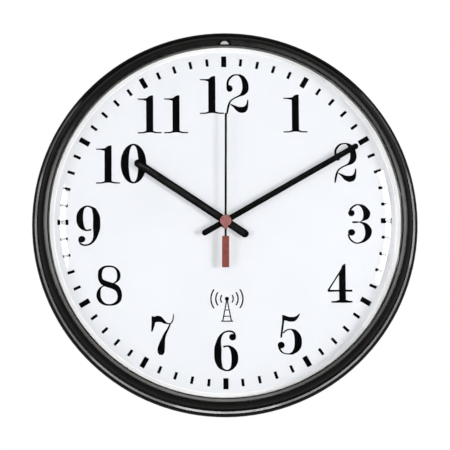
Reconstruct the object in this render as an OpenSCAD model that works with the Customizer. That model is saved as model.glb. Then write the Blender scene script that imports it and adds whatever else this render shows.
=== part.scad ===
// Radio-controlled wall clock, in millimetres.
// Pieces are drawn face up: x to the right, y to 12 o'clock, z from the wall to the viewer.
// hung() then stands the clock up on the wall, with the origin at the keyhole.

/* [Case] */
// Outside diameter of the case
case_d = 324; // [270:1:400]
// Depth from the wall to the front edge of the bezel
case_t = 38; // [36:0.5:50]
// Width of the rim, from the outside edge to the opening over the dial
rim_w = 16.2; // [14:0.1:22]
// Depth from the front edge of the bezel to the face of the dial
front_depth = 13; // [13:0.1:18]
// Wall of the moulded case
case_wall = 2.4; // [1.8:0.1:3]
// Distance from the inside of the case at 12 o'clock down to the keyhole
keyhole_drop = 38.6; // [36:0.1:46]
// Number of screws that hold the bezel to the rear case
bezel_screw_count = 6; // [3:1:8]

/* [Face] */
// Thickness of the dial plate
dial_t = 1.2; // [0.8:0.1:2]
// Thickness of the lens
lens_t = 1.8; // [1.2:0.1:2.4]
// Width of the white retaining ring that shows inside the rim
dial_ring_w = 3.5; // [2:0.1:6]
// Thickness of the white retaining ring
dial_ring_t = 1; // [0.6:0.1:1.5]

/* [Hands] */
// Gap from the tip of the minute hand to the rim
minute_tip_gap = 18.8; // [8:0.1:30]
// How much shorter the hour hand is than the minute hand
hour_shortfall = 36.7; // [25:0.1:50]
// Length of the second hand from the axis to its tip
second_len = 90; // [60:0.5:110]
// Tail of the hour and minute hands behind the axis
hand_tail = 22.3; // [10:0.1:30]
// Width of the hour hand
hour_w = 6.5; // [4:0.1:8]
// Width of the minute hand
minute_w = 4.8; // [3:0.1:6]
// Width of the second hand's stem
second_w = 1.7; // [0.8:0.1:2]
// Angle of the hour hand, clockwise from 12
hour_angle = 303.8; // [0:0.1:359.9]
// Angle of the minute hand, clockwise from 12
minute_angle = 60.4; // [0:0.1:359.9]
// Angle of the second hand, clockwise from 12
second_angle = 0.5; // [0:0.1:359.9]
// Radius of the red hub
hub_r = 4.7; // [3.5:0.1:6]
// Width of the red counterweight
weight_w = 5.8; // [4:0.1:8]
// Length of the red counterweight
weight_len = 26; // [15:0.5:35]

/* [Movement] */
// Half the width of the movement
move_hw = 40; // [40:0.5:44]
// Height of the movement above the hands' axis
move_top = 27; // [27:0.5:32]
// Height of the movement below the hands' axis
move_bottom = 41.1; // [41.1:0.1:46]
// Wall of the movement's housing
move_wall = 1.6; // [1.2:0.1:1.6]
// Diameter of the battery
battery_d = 14.5; // [13.9:0.1:14.5]
// Length of the battery with its nub
battery_len = 50.5; // [49.2:0.1:50.5]
// Travel of a push button
button_travel = 0.8; // [0.4:0.1:0.9]
// Radius of a push button's cap
button_r = 2; // [1.5:0.1:2.5]
// Travel of the daylight saving switch
switch_travel = 2; // [1:0.1:2.5]
// Running clearance of an arbor or pipe in its bearing, on the radius
run_gap = 0.05; // [0.03:0.01:0.08]

/* [Gears] */
// Module of the motor trains
train_m = 0.35; // [0.29:0.01:0.35]
// Distance between the centre arbor and the motion wheel's post
motion_a = 12; // [10:0.1:12]

/* [Hidden] */

$fn = 48;
round_fn = 180;     // for the large rings
eps = 0.01;
fit = 0.05;         // between two fixed pieces that fit into each other
seat = 0.02;        // on a pressed or glued seat

// Case
case_r = case_d / 2;
open_r = case_r - rim_w;
dial_z = case_t - front_depth;
dial_back = dial_z - dial_t;
ring_top = dial_z + dial_ring_t;
crest_r = open_r + 3.6;
crest_round = 0.7;
lip_r = open_r + 1;  // lip in front of the lens
lip_z = case_t - 1.1;
ledge_z = case_t - 4.1;
lens_r = open_r + 2;
lens_top = ledge_z + lens_t;
lens_step_r = open_r - 9.2;
lens_step_w = 4.6;
lens_rise = 1.6;      // of the lens's middle over its rim
dial_r = open_r + 4.5;
floor_z = 2.5;      // rear face of the rear case's floor
floor_t = 2;
rim_ring_w = 7.9;   // ring that bears on the wall
collar_gap = 2;     // round the movement
collar_wall = 1.6;
collar_h = 6;
rib_h = 11;
hanger_post_r = 3.4;
hanger_post_h = 8.6;
skirt_in = case_r - 2.7;
shell_r = dial_r + 0.3;
hang_y = shell_r - keyhole_drop;
boss_pc = shell_r + 4;
boss_r = 3;
boss_z = floor_z + floor_t + 0.05;
bead_z = 14;         // outer edge of the rim's step
boss_h = 14;
screw_r = 1.4;
screw_grip = 8;      // length of a bezel screw in its boss
small_screw_r = 0.9;     // cover and bridge
board_screw_r = 0.7;
catch_r = 3.6;
catch_y = open_r + 0.2;
catch_foot = 1;       // from the catch's centre up to its straight edge
catch_h = 1.5;
catch_pin_r = 0.4;
catch_pin_y = lens_r + 0.8;
notch_r = 5.7;

// Hanger
hanger_t = 1.2;
hanger_hw = 20;
hanger_low = 13;
hanger_high = 19;
key_r = 5;
slot_r = 2.5;
slot_len = 11;
pocket_hw = 11;
pocket_low = 8;
pocket_high = 15.5;
pocket_depth = 10;
hanger_screw_x = 15.5;
hanger_screw_y = 4;

// Hands, as heights above the dial
hour_hand_z = dial_z + 3.9;
minute_hand_z = dial_z + 5.6;
second_hand_z = dial_z + 7;
hand_t = 0.5;
stem_t = 0.3;
hub_t = 0.9;
hub_tab_w = 3.4;     // painted tab below the hub
hub_tab_len = 6.4;
hour_rib_w = 2.4;
minute_rib_w = 1.6;
weight_t = 0.5;
weight_gap = 12.7;  // from the axis to the counterweight
minute_len = open_r - minute_tip_gap;
hour_len = minute_len - hour_shortfall;
hour_collet_r = 3.3;
minute_collet_r = 2.2;
second_pipe_r = 1.1;
second_pin_r = 0.6;
minute_pipe_r = 1.6;
hour_pipe_r = 2.6;
bushing_r = 4;
nut_r = 5.7;        // across the corners

// Movement: heights are measured from its rear face
washer_t = 0.5;
bush_flange_r = 6;
bush_flange_t = 0.6;
gasket_t = 0.5;
move_t = 18.8;
move_z = dial_back - gasket_t - move_t;
front_t = 2;
front_in = move_t - front_t;    // inside of the housing's front wall
cover_t = 1.4;
board_u = 4.2;
board_t = 0.8;
board_hw = 29.5;
board_low = -20.5;
board_high = 24;
bridge_u = 5.2;
bridge_t = 0.9;
plate_u = 9.6;
plate_t = 0.8;
plate_left = -23;
plate_right = 28;
plate_low = -17.5;
plate_high = 14.8;
stator_u = 6.6;
stator_t = 1.1;
post_r = 2.2;
leg_r = 2.6;
train_posts = [[-20, 12], [-20, -14], [20, 12], [22, -15]];
corner_x = move_hw - 4.2;
corner_ys = [move_top - 4.2, 4.2 - move_bottom];
board_screw_at = [[-27, 21.5], [27, 21.5], [-25, -19], [25, -19]];

// Gear train
seconds_teeth = 48;
seconds_transfer_teeth = 40;
minute_teeth = 80;
minute_transfer_teeth = 48;
pinion_teeth = 8;
cannon_teeth = 12;
motion_teeth = 36;
motion_pinion_teeth = 10;
hour_teeth = 40;
cannon_m = 2 * motion_a / (cannon_teeth + motion_teeth);
hour_m = 2 * motion_a / (motion_pinion_teeth + hour_teeth);
seconds_dir = 165;
minute_dir = -15;
arbor_foot = bridge_u + 0.1;
seconds_transfer_at = polar(train_m * (seconds_teeth + pinion_teeth) / 2, seconds_dir);
seconds_rotor_dir = 200;
seconds_rotor_at = seconds_transfer_at
    + polar(train_m * (seconds_transfer_teeth + pinion_teeth) / 2, seconds_rotor_dir);
minute_transfer_at = polar(train_m * (minute_teeth + pinion_teeth) / 2, minute_dir);
minute_rotor_dir = 15;
minute_rotor_at = minute_transfer_at
    + polar(train_m * (minute_transfer_teeth + pinion_teeth) / 2, minute_rotor_dir);
motion_dir = -95;
motion_at = polar(motion_a, motion_dir);
wheel_t = 0.9;
seconds_wheel_u = 6.5;
seconds_wheel_t = 1;
seconds_pinion_u = 6.4;
transfer_wheel_u = 8.2;
rotor_pinion_u = 8;
upper_pinion_u = plate_u + plate_t + 0.2;
minute_wheel_u = 10.8;
minute_wheel_t = 1;
cannon_u = minute_wheel_u + minute_wheel_t;
cannon_t = 2.3;
motion_wheel_u = 12.4;
motion_wheel_t = 1;
motion_pinion_t = 2.8;
motion_post_u = 12;
motion_post_r = 1;
hour_wheel_u = 14.5;
hour_wheel_t = 1.4;
arbor_r = 0.5;
hub_wall = 1.4;      // plain hub left round an arbor
magnet_r = 3;
magnet_t = 1.3;
rotor_hole_r = magnet_r + 0.5;
stator_r = train_m * (seconds_transfer_teeth / 2 - 0.9) - 0.685;
stator_w = 3.2;
core_w = 3;
coil_x = 33.8;
coil_r = 2.6;
coil_hl = 10;

// Antenna
antenna_y = 20;
antenna_u = 11;
rod_r = 4;
rod_hl = 30;
antenna_coil_r = 5;
antenna_coil_x = [17, 31];
cradle_x = [-24, 12];

// Battery bay
battery_y = -30.7;
battery_u = 8.25;
bay_hl = 28.2;
bay_low = -38.2;
bay_high = -23.2;
bay_depth = 15.7;
bay_wall = 1;
contact_t = 0.4;
contact_w = 7;
contact_us = [2.5, 13.5];   // lower and upper end of a contact

// Buttons: the zone buttons in one row, the others in a row below
zone_y = 15;
zone_x = [-22, -13, -4, 5];
knob_at = [17, 15];
control_y = 2;
control_x = [-22, -13, -4];
button_flange_t = 0.55;
plunger_u = cover_t + fit + button_flange_t + button_travel + 0.35;
tact_t = 0.8;
tact_w = 4.4;
cap_proud = 0.4;
knob_proud = 0.7;
knob_hw = 0.9;
knob_hh = 0.8;
knob_gap = 0.15;    // beside the knob, and left over beyond its travel
button_spots = [for (x = zone_x) [x, zone_y], for (x = control_x) [x, control_y]];

function polar(r, a) = [r * cos(a), r * sin(a)];
function arc(c, r, a0, a1, n) = [for (i = [0:n]) c + polar(r, a0 + (a1 - a0) * i / n)];
function bezier(p, q, s, n) = [for (i = [0:n]) let (t = i / n)
    p * (1 - t) * (1 - t) + q * 2 * t * (1 - t) + s * t * t];

// From face up to standing on the wall, with the keyhole at the origin
module hung() {
    translate([0, 0, -hang_y]) rotate([90, 0, 0]) children();
}

// The movement's own heights
module moved() {
    hung() translate([0, 0, move_z]) children();
}

module at(p, z = 0) {
    translate([p[0], p[1], z]) children();
}

module tube(r_out, r_in, h) {
    difference() {
        cylinder(r = r_out, h = h);
        translate([0, 0, -1]) cylinder(r = r_in, h = h + 2);
    }
}

module rounded_2d(x0, x1, y0, y1, r) {
    translate([x0 + r, y0]) square([x1 - x0 - 2 * r, y1 - y0]);
    translate([x0, y0 + r]) square([x1 - x0, y1 - y0 - 2 * r]);
    for (x = [x0 + r, x1 - r], y = [y0 + r, y1 - r]) translate([x, y]) circle(r = r);
}

// Flat bar with round ends along y
module bar_2d(w, y0, y1) {
    translate([-w / 2, y0 + w / 2]) square([w, y1 - y0 - w]);
    for (y = [y0 + w / 2, y1 - w / 2]) translate([0, y]) circle(r = w / 2);
}

// Strip of width w from p to q
module strip_2d(p, q, w) {
    d = q - p;
    translate(p) rotate(atan2(d[1], d[0])) translate([0, -w / 2]) square([norm(d), w]);
    for (c = [p, q]) translate(c) circle(r = w / 2);
}

// Spur gear outline: a tooth points at angle dir, or a gap if gap is true
module gear_2d(m, n, dir, gap = false) {
    pitch_r = m * n / 2;
    step = 360 / n;
    turn = dir + (gap ? step / 2 : 0);
    flank = [[-1.15, -0.27], [0, -0.22], [0.9, -0.1], [0.9, 0.1], [0, 0.22], [-1.15, 0.27]];
    polygon([for (i = [0:n - 1], f = flank) polar(pitch_r + f[0] * m, turn + (i + f[1]) * step)]);
}

module gear(m, n, dir, h, gap = false) {
    linear_extrude(h) gear_2d(m, n, dir, gap);
}

// Round holes that lighten a wheel of m and n, midway between its hub and its teeth
module spoke_holes(count, m, n, hub, z) {
    root = m * (n / 2 - 1.15);
    pitch = (hub + root) / 2;
    r = min((root - hub) / 2 - 0.9, pitch * sin(180 / count) - 0.7);
    for (i = [0:count - 1]) at(polar(pitch, (i + 0.5) * 360 / count), z - 1) cylinder(r = r, h = 4);
}

// Case

function bezel_outside() = concat(
    [[case_r - 0.8, 1]],
    arc([case_r - 1.4, 2.4], 1.4, -60, 0, 5),
    bezier([case_r, 5.4], [case_r - 0.3, bead_z - 3], [case_r - 2.7, bead_z - 0.3], 7),
    [[case_r - 3, bead_z], [case_r - 4.7, bead_z + 0.75], [case_r - 5, bead_z + 0.6],
        [case_r - 5.1, bead_z - 0.4], [case_r - 5.7, bead_z - 0.4]],
    bezier([case_r - 5.8, bead_z + 0.6], [case_r - 6.5, case_t - 6],
        [crest_r, case_t - crest_round] + polar(crest_round, 40), 14),
    arc([crest_r, case_t - crest_round], crest_round, 52, 115, 5));

// The lens snaps into the groove between the lip and the ledge
function bezel_inside() = [
    [lip_r + 0.25, lip_z],
    [lip_r, lip_z - 0.25],
    [lip_r, lens_top + fit],
    [lens_r + 0.2, lens_top + fit],
    [lens_r + 0.2, ledge_z],
    [open_r + 0.6, ledge_z],
    [open_r + 0.2, ledge_z - 0.4],
    [open_r, ring_top + fit],
    [open_r + 2, ring_top + fit],
    [open_r + 2.3, ledge_z - 2.4],
    [case_r - 8 - case_wall, ledge_z - 2.4],
    [case_r - 6 - case_wall, bead_z + 4],
    [case_r - 5.8 - case_wall, bead_z - 0.5],
    [skirt_in - 0.6, bead_z - 3],
    [skirt_in, bead_z - 3.6],
    [skirt_in, 1]
];

module bezel() color([0.06, 0.06, 0.06]) hung() {
    difference() {
        union() {
            rotate_extrude($fn = round_fn) polygon(concat(bezel_outside(), bezel_inside()));
            intersection() {
                bezel_bosses();
                rotate_extrude($fn = round_fn)
                    polygon([[shell_r + fit * 4, boss_z], [case_r - 3.5, boss_z],
                        [case_r - 7.4, bead_z + 6], [shell_r + fit * 4, bead_z + 6]]);
            }
        }
        screw_ring() translate([0, 0, boss_z - 1]) cylinder(r = screw_r + fit, h = screw_grip + 1.5);
        translate([0, catch_y, ledge_z + lens_t]) cylinder(r = notch_r, h = case_t);
        translate([0, catch_pin_y, ledge_z - 1.5]) cylinder(r = catch_pin_r + fit, h = 6, $fn = 24);
    }
}

module bezel_bosses() {
    screw_ring() translate([0, 0, boss_z]) cylinder(r = boss_r, h = boss_h);
}

module screw_ring() {
    for (i = [0:bezel_screw_count - 1])
        rotate(i * 360 / bezel_screw_count) translate([boss_pc, 0, 0]) children();
}

// Flat in front of the dial, with a sloping step down to its rim
module lens() color([0.85, 0.9, 0.92, 0.3]) hung() {
    rotate_extrude($fn = round_fn) polygon([[0, ledge_z + lens_rise],
        [lens_step_r - lens_step_w, ledge_z + lens_rise], [lens_step_r, ledge_z], [lens_r, ledge_z],
        [lens_r, lens_top - 0.3], [lens_r - 0.3, lens_top], [lens_step_r, lens_top],
        [lens_step_r - lens_step_w, lens_top + lens_rise], [0, lens_top + lens_rise]]);
}

// Half-round catch at 12 o'clock, pinned to the bezel over the lens's edge
module lens_catch() color([0.8, 0.8, 0.8]) hung() {
    translate([0, catch_y, lens_top]) difference() {
        union() {
            cylinder(r = catch_r, h = catch_h - 0.6);
            translate([0, 0, catch_h - 0.6]) cylinder(r1 = catch_r, r2 = catch_r - 0.7, h = 0.6);
        }
        translate([-10, catch_foot - 20, -1]) cube([20, 20, 5]);
    }
    translate([0, catch_pin_y, ledge_z - 1.2]) cylinder(r = catch_pin_r, h = lens_t + 1.2, $fn = 24);
}

module dial_ring() color([0.97, 0.97, 0.97]) hung() {
    inner = open_r - dial_ring_w;
    rotate_extrude($fn = round_fn) polygon([[inner, dial_z], [dial_r, dial_z], [dial_r, ring_top],
        [inner + 0.4, ring_top], [inner, ring_top - 0.4]]);
}

module dial() color([0.95, 0.96, 0.97]) hung() {
    translate([0, 0, dial_back]) difference() {
        cylinder(r = dial_r, h = dial_t, $fn = round_fn);
        translate([0, 0, -1]) cylinder(r = bushing_r + 0.1, h = dial_t + 2);
    }
}

// Moulded rear: wall rim, floor, shell that carries the dial, collar round the movement and hanger pocket
module rear_case() color([0.08, 0.08, 0.08]) hung() {
    floor_top = floor_z + floor_t;
    difference() {
        union() {
            rotate_extrude($fn = round_fn) polygon([[skirt_in - 0.3 - rim_ring_w, 0.4],
                [skirt_in - rim_ring_w, 0], [skirt_in - 0.6, 0], [skirt_in - 0.3, 0.3],
                [skirt_in - 0.3, floor_top], [shell_r, floor_top], [shell_r, dial_back],
                [shell_r - 2, dial_back], [shell_r - 2, floor_top], [0, floor_top], [0, floor_z],
                [skirt_in - 0.3 - rim_ring_w, floor_z]]);
            translate([0, 0, floor_z]) linear_extrude(collar_h) window_2d(collar_gap + collar_wall);
            case_ribs();
            hanger_frame();
        }
        translate([0, 0, -1]) linear_extrude(20) window_2d(collar_gap);
        screw_ring() {
            translate([0, 0, -1]) cylinder(r = screw_r + 0.3, h = 10);
            translate([0, 0, -1]) cylinder(r = 3.2, h = floor_z + 1);
        }
        hanger_pocket();
        hanger_screw_spots() cylinder(r = screw_r + fit, h = 9.5);
    }
}

module window_2d(gap) {
    rounded_2d(-move_hw - gap, move_hw + gap, -move_bottom - gap, move_top + gap, 3 + gap);
}

// Eight ribs from the collar out to the shell
module case_ribs() {
    start = norm([move_hw, move_bottom]) + 6;
    for (i = [0:7]) rotate(22.5 + i * 45)
        translate([start, -0.8, floor_z + 1]) cube([shell_r - 1 - start, 1.6, rib_h]);
}

module hanger_frame() {
    translate([-hanger_hw - 1, hang_y - hanger_low - 1, hanger_t])
        cube([2 * hanger_hw + 2, hanger_low + hanger_high + 2, floor_z + floor_t - hanger_t]);
    translate([-pocket_hw - collar_wall, hang_y - pocket_low - collar_wall, floor_z])
        cube([2 * (pocket_hw + collar_wall), pocket_low + pocket_high + 2 * collar_wall,
            pocket_depth + collar_wall + hanger_t - floor_z]);
    hanger_screw_spots() translate([0, 0, floor_z]) cylinder(r = hanger_post_r, h = hanger_post_h);
}

module hanger_screw_spots() {
    for (s = [-1, 1]) translate([s * hanger_screw_x, hang_y + hanger_screw_y, 0]) children();
}

module hanger_pocket() {
    translate([-pocket_hw, hang_y - pocket_low, -1])
        cube([2 * pocket_hw, pocket_low + pocket_high, pocket_depth + hanger_t + 1]);
}

module bezel_screws() color([0.75, 0.75, 0.78]) hung() {
    screw_ring() {
        translate([0, 0, 0.7]) difference() {
            cylinder(r = 2.8, h = floor_z - 0.7);
            translate([0, 0, -1]) cross_recess(1.9, 2);
        }
        translate([0, 0, floor_z]) cylinder(r = screw_r, h = boss_z + screw_grip - floor_z);
    }
}

// Cross-shaped driver recess
module cross_recess(w, h) {
    for (a = [0, 90]) rotate(a) translate([-w, -0.35, 0]) cube([2 * w, 0.7, h]);
}

module hanger_plate() color([0.7, 0.72, 0.74]) hung() {
    difference() {
        translate([0, hang_y, 0]) linear_extrude(hanger_t)
            rounded_2d(-hanger_hw, hanger_hw, -hanger_low, hanger_high, 3);
        translate([0, hang_y, -1]) cylinder(r = key_r, h = 5);
        translate([0, hang_y, -1]) linear_extrude(5) bar_2d(2 * slot_r, -slot_r, slot_len + slot_r);
        hanger_screw_spots() {
            translate([0, 0, -1]) cylinder(r = screw_r + 0.1, h = 5);
            translate([0, 0, -eps]) cylinder(r1 = 2.85 + eps, r2 = screw_r + 0.1, h = 1 + eps);
        }
    }
}

module hanger_screws() color([0.75, 0.75, 0.78]) hung() {
    hanger_screw_spots() difference() {
        union() {
            translate([0, 0, 0.1]) cylinder(r1 = 2.7, r2 = screw_r, h = 0.85);
            translate([0, 0, 0.5]) cylinder(r = screw_r, h = 8);
        }
        translate([0, 0, -1]) cross_recess(1.5, 1.7);
    }
}

// Hands

module hour_hand() color([0.05, 0.05, 0.05]) hung() rotate(-hour_angle) {
    difference() {
        union() {
            translate([0, 0, hour_hand_z]) linear_extrude(hand_t) {
                bar_2d(hour_w, -hand_tail, hour_len);
                circle(r = hour_collet_r + 1.3);
            }
            translate([0, 0, hour_hand_z + hand_t]) hand_rib(hour_rib_w, 6, hour_len - 3);
            translate([0, 0, hour_hand_z + hand_t]) hand_rib(hour_rib_w, 3 - hand_tail, -6);
        }
        translate([0, 0, hour_hand_z - 1]) cylinder(r = hour_collet_r + seat, h = 3);
    }
}

// Raised rib pressed along a hand, with sloping sides
module hand_rib(w, y0, y1) {
    translate([0, y1, 0]) rotate([90, 0, 0]) linear_extrude(y1 - y0)
        polygon([[-w / 2, -eps], [-w / 2, 0.02], [-w / 8, 0.3], [w / 8, 0.3], [w / 2, 0.02], [w / 2, -eps]]);
}

module hour_hand_collet() color([0.8, 0.65, 0.3]) hung() translate([0, 0, hour_hand_z]) difference() {
    union() {
        translate([0, 0, -0.6]) cylinder(r = hour_collet_r + 0.9, h = 0.6);
        cylinder(r = hour_collet_r, h = hand_t + 0.1);
    }
    translate([0, 0, -1]) cylinder(r = hour_pipe_r + seat, h = 3);
}

module minute_hand() color([0.05, 0.05, 0.05]) hung() rotate(-minute_angle) {
    difference() {
        union() {
            translate([0, 0, minute_hand_z]) linear_extrude(hand_t) {
                bar_2d(minute_w, -hand_tail, minute_len);
                circle(r = minute_collet_r + 1.4);
            }
            translate([0, 0, minute_hand_z + hand_t]) hand_rib(minute_rib_w, 6, minute_len - 3);
            translate([0, 0, minute_hand_z + hand_t]) hand_rib(minute_rib_w, 3 - hand_tail, -6);
        }
        translate([0, 0, minute_hand_z - 1]) cylinder(r = minute_collet_r + seat, h = 3);
    }
}

module minute_hand_collet() color([0.8, 0.65, 0.3]) hung() translate([0, 0, minute_hand_z]) difference() {
    union() {
        translate([0, 0, -0.4]) cylinder(r = minute_collet_r + 0.9, h = 0.4);
        cylinder(r = minute_collet_r, h = hand_t + 0.1);
    }
    translate([0, 0, -1]) cylinder(r = minute_pipe_r + seat, h = 3);
}

module second_hand() color([0.05, 0.05, 0.05]) hung() rotate(-second_angle)
    translate([0, 0, second_hand_z]) difference() {
        linear_extrude(stem_t) {
            bar_2d(second_w, 2 - weight_gap - weight_len, second_len);
            circle(r = 2.4);
        }
        translate([0, 0, -1]) cylinder(r = second_pipe_r + seat, h = 3);
    }

module second_hand_hub() color([0.72, 0.2, 0.2]) hung() rotate(-second_angle)
    translate([0, 0, second_hand_z + stem_t]) difference() {
        union() {
            rotate_extrude() polygon(concat([[0, 0], [hub_r, 0]],
                bezier([hub_r, 0.35], [hub_r - 0.3, hub_t], [hub_r - 1.6, hub_t], 6), [[0, hub_t]]));
            linear_extrude(hub_t / 2) rounded_2d(-hub_tab_w / 2, hub_tab_w / 2, -hub_tab_len, 0, 0.6);
        }
        translate([0, 0, -1]) cylinder(r = second_pipe_r + seat, h = 1.4);
    }

module second_hand_counterweight() color([0.6, 0.15, 0.12]) hung() rotate(-second_angle)
    translate([0, 0, second_hand_z + stem_t]) linear_extrude(weight_t)
        rounded_2d(-weight_w / 2, weight_w / 2, -weight_gap - weight_len, -weight_gap, 0.5);

module second_hand_pipe() color([0.8, 0.65, 0.3]) hung() translate([0, 0, second_hand_z - 0.5])
    tube(second_pipe_r, second_pin_r + seat, 1.1);

// Fixing of the movement to the dial

module mounting_nut() color([0.8, 0.65, 0.3]) hung() translate([0, 0, dial_z + washer_t]) difference() {
    cylinder(r = nut_r, h = 2.1, $fn = 6);
    translate([0, 0, -1]) cylinder(r = bushing_r + fit, h = 5);
}

module nut_washer() color([0.85, 0.72, 0.4]) hung() translate([0, 0, dial_z])
    tube(nut_r - 0.1, bushing_r + 0.1, washer_t);

module movement_gasket() color([0.1, 0.1, 0.1]) moved() translate([0, 0, move_t])
    tube(14, bushing_r + 0.1, gasket_t);

module threaded_bushing() color([0.8, 0.65, 0.3]) moved() {
    top = hour_hand_z - 1 - move_z;
    thread_low = top - 4;
    groove = 0.25;
    pitch = 0.8;
    rotate_extrude() polygon(concat(
        [[hour_pipe_r + run_gap, front_in - 0.4], [bushing_r, front_in - 0.4],
            [bushing_r, move_t - bush_flange_t], [bush_flange_r, move_t - bush_flange_t],
            [bush_flange_r, move_t], [bushing_r, move_t], [bushing_r, thread_low]],
        [for (i = [0:3], p = [[bushing_r - groove, pitch / 2], [bushing_r, pitch]])
            [p[0], thread_low + i * pitch + p[1]]],
        [[bushing_r - 0.4, top], [hour_pipe_r + run_gap, top]]));
}

// Movement

module housing_outline(inset) {
    rounded_2d(inset - move_hw, move_hw - inset, inset - move_bottom, move_top - inset, 3 - inset);
}

module corner_posts() {
    for (x = [-corner_x, corner_x], y = corner_ys) translate([x, y, 0]) children();
}

module movement_housing() color([0.12, 0.12, 0.12]) moved() {
    difference() {
        union() {
            difference() {
                translate([0, 0, cover_t]) linear_extrude(move_t - cover_t) housing_outline(0);
                translate([0, 0, cover_t - 1]) linear_extrude(front_in - cover_t + 1)
                    housing_outline(move_wall);
            }
            corner_posts() translate([0, 0, cover_t]) cylinder(r = 2.7, h = front_in - cover_t + 0.5);
            for (p = train_posts) at(p, plate_u + plate_t)
                cylinder(r = post_r, h = front_in - plate_u - plate_t + 0.5);
            at(motion_at, motion_post_u) cylinder(r = motion_post_r, h = front_in - motion_post_u + 0.5);
            antenna_cradles();
        }
        corner_posts() cylinder(r = small_screw_r + fit, h = 10);
        for (p = train_posts) at(p, plate_u) cylinder(r = small_screw_r + fit, h = 6);
        at(minute_transfer_at, front_in - 1) cylinder(r = arbor_r + run_gap, h = 1 + front_t / 2);
        cylinder(r = bushing_r + fit, h = 30);
        translate([0, 0, move_t - bush_flange_t]) cylinder(r = bush_flange_r + fit, h = 2);
    }
}

// Forks on the front wall that carry the antenna rod
module antenna_cradles() {
    for (x = cradle_x) difference() {
        translate([x - 1.5, antenna_y - rod_r - 1, antenna_u - 1])
            cube([3, move_top - antenna_y + rod_r, front_in - antenna_u + 1.5]);
        translate([x - 5, antenna_y, antenna_u]) rotate([0, 90, 0]) cylinder(r = rod_r + fit, h = 10);
        translate([x - 5, antenna_y - rod_r - fit, antenna_u - 3]) cube([10, 2 * (rod_r + fit), 3]);
    }
}

module movement_cover() color([0.14, 0.14, 0.14]) moved() {
    difference() {
        union() {
            linear_extrude(cover_t) housing_outline(0);
            for (p = board_screw_at) at(p) cylinder(r = 2.1, h = board_u);
            translate([-bay_hl - bay_wall, bay_low - bay_wall, 0])
                cube([2 * (bay_hl + bay_wall), bay_high - bay_low + 2 * bay_wall, bay_depth + bay_wall]);
        }
        translate([-bay_hl, bay_low, -1]) cube([2 * bay_hl, bay_high - bay_low, bay_depth + 1]);
        corner_posts() translate([0, 0, -1]) cylinder(r = 1.1, h = 5);
        for (p = board_screw_at) at(p, 1.6) cylinder(r = board_screw_r + fit, h = 5);
        for (p = button_spots) at(p, -1) cylinder(r = button_r + 0.15, h = 5);
        at(knob_at, -1) translate([-knob_hw - knob_gap, -knob_hh - knob_gap, 0])
            cube([2 * (knob_hw + knob_gap) + switch_travel, 2 * (knob_hh + knob_gap), 5]);
        for (s = [-1, 1]) translate([s * (bay_hl - contact_t / 2) - 0.4, bay_high - 1, board_u - 0.8])
            cube([0.8, 3, 1]);
    }
}

module cover_screws() color([0.75, 0.75, 0.78]) moved() {
    corner_posts() pan_screw(1.9, small_screw_r, 8);
}

// Pan-head screw: its head lies below z = 0, its shank above
module pan_screw(head_r, shank_r, len) {
    translate([0, 0, -1]) difference() {
        cylinder(r = head_r, h = 1);
        translate([0, 0, -1]) cross_recess(head_r - 0.6, 1.6);
    }
    cylinder(r = shank_r, h = len);
}

module plate_outline() {
    rounded_2d(plate_left, plate_right, plate_low, plate_high, 2.5);
}

module middle_plate() color([0.9, 0.9, 0.86]) moved() {
    difference() {
        translate([0, 0, plate_u]) linear_extrude(plate_t) plate_outline();
        for (p = train_posts) at(p, plate_u - 1) cylinder(r = small_screw_r + 0.1, h = 4);
        translate([0, 0, plate_u - 1]) cylinder(r = second_pin_r + run_gap, h = 4);
        at(minute_transfer_at, plate_u - 1) cylinder(r = 2.1, h = 4);
        for (p = [seconds_transfer_at, seconds_rotor_at, minute_rotor_at])
            at(p, plate_u - 1) cylinder(r = arbor_r + run_gap, h = 4);
    }
}

module rear_bridge() color([0.88, 0.88, 0.84]) moved() {
    // Studs under the stators, between their hole and their edge
    stud_from = (stator_r + rotor_hole_r) / 2;
    stud_r = (stator_r - rotor_hole_r) / 2 - 0.35;
    difference() {
        union() {
            translate([0, 0, bridge_u]) linear_extrude(bridge_t) plate_outline();
            for (p = train_posts) at(p, bridge_u) cylinder(r = leg_r, h = plate_u - bridge_u);
            for (p = [seconds_rotor_at - [stud_from, 0], minute_rotor_at + [0, stud_from]])
                at(p, bridge_u) cylinder(r = stud_r, h = stator_u - bridge_u);
        }
        for (p = train_posts) {
            at(p, bridge_u - 1) cylinder(r = small_screw_r + 0.1, h = 10);
            at(p, bridge_u - 1) cylinder(r = 1.95, h = 2.2);
        }
        for (p = [[0, 0], seconds_transfer_at, seconds_rotor_at, minute_transfer_at, minute_rotor_at])
            at(p, bridge_u - 1) cylinder(r = (p == [0, 0] ? second_pin_r : arbor_r) + run_gap, h = 4);
    }
}

module bridge_screws() color([0.75, 0.75, 0.78]) moved() {
    for (p = train_posts) at(p, bridge_u + 1.2) pan_screw(1.8, small_screw_r, 8);
}

module circuit_board() color([0.1, 0.35, 0.2]) moved() {
    difference() {
        translate([-board_hw, board_low, board_u]) cube([2 * board_hw, board_high - board_low, board_t]);
        for (p = board_screw_at) at(p, board_u - 1) cylinder(r = 0.8, h = 4);
    }
}

module board_screws() color([0.75, 0.75, 0.78]) moved() {
    for (p = board_screw_at) at(p, board_u + board_t) mirror([0, 0, 1]) pan_screw(1.4, board_screw_r, 3);
}

module control_chip() color([0.05, 0.05, 0.05]) moved()
    at([12, -8], board_u - 1.1) rotate_extrude() polygon(concat([[0, 1.1]],
        bezier([5, 1.1], [4.6, 0.1], [0, 0], 6)));

module quartz_crystals() color([0.8, 0.8, 0.82]) moved() {
    for (y = [-12, -8, -4]) translate([21, y, board_u - 1.02]) rotate([0, 90, 0]) cylinder(r = 1, h = 6);
}

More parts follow.
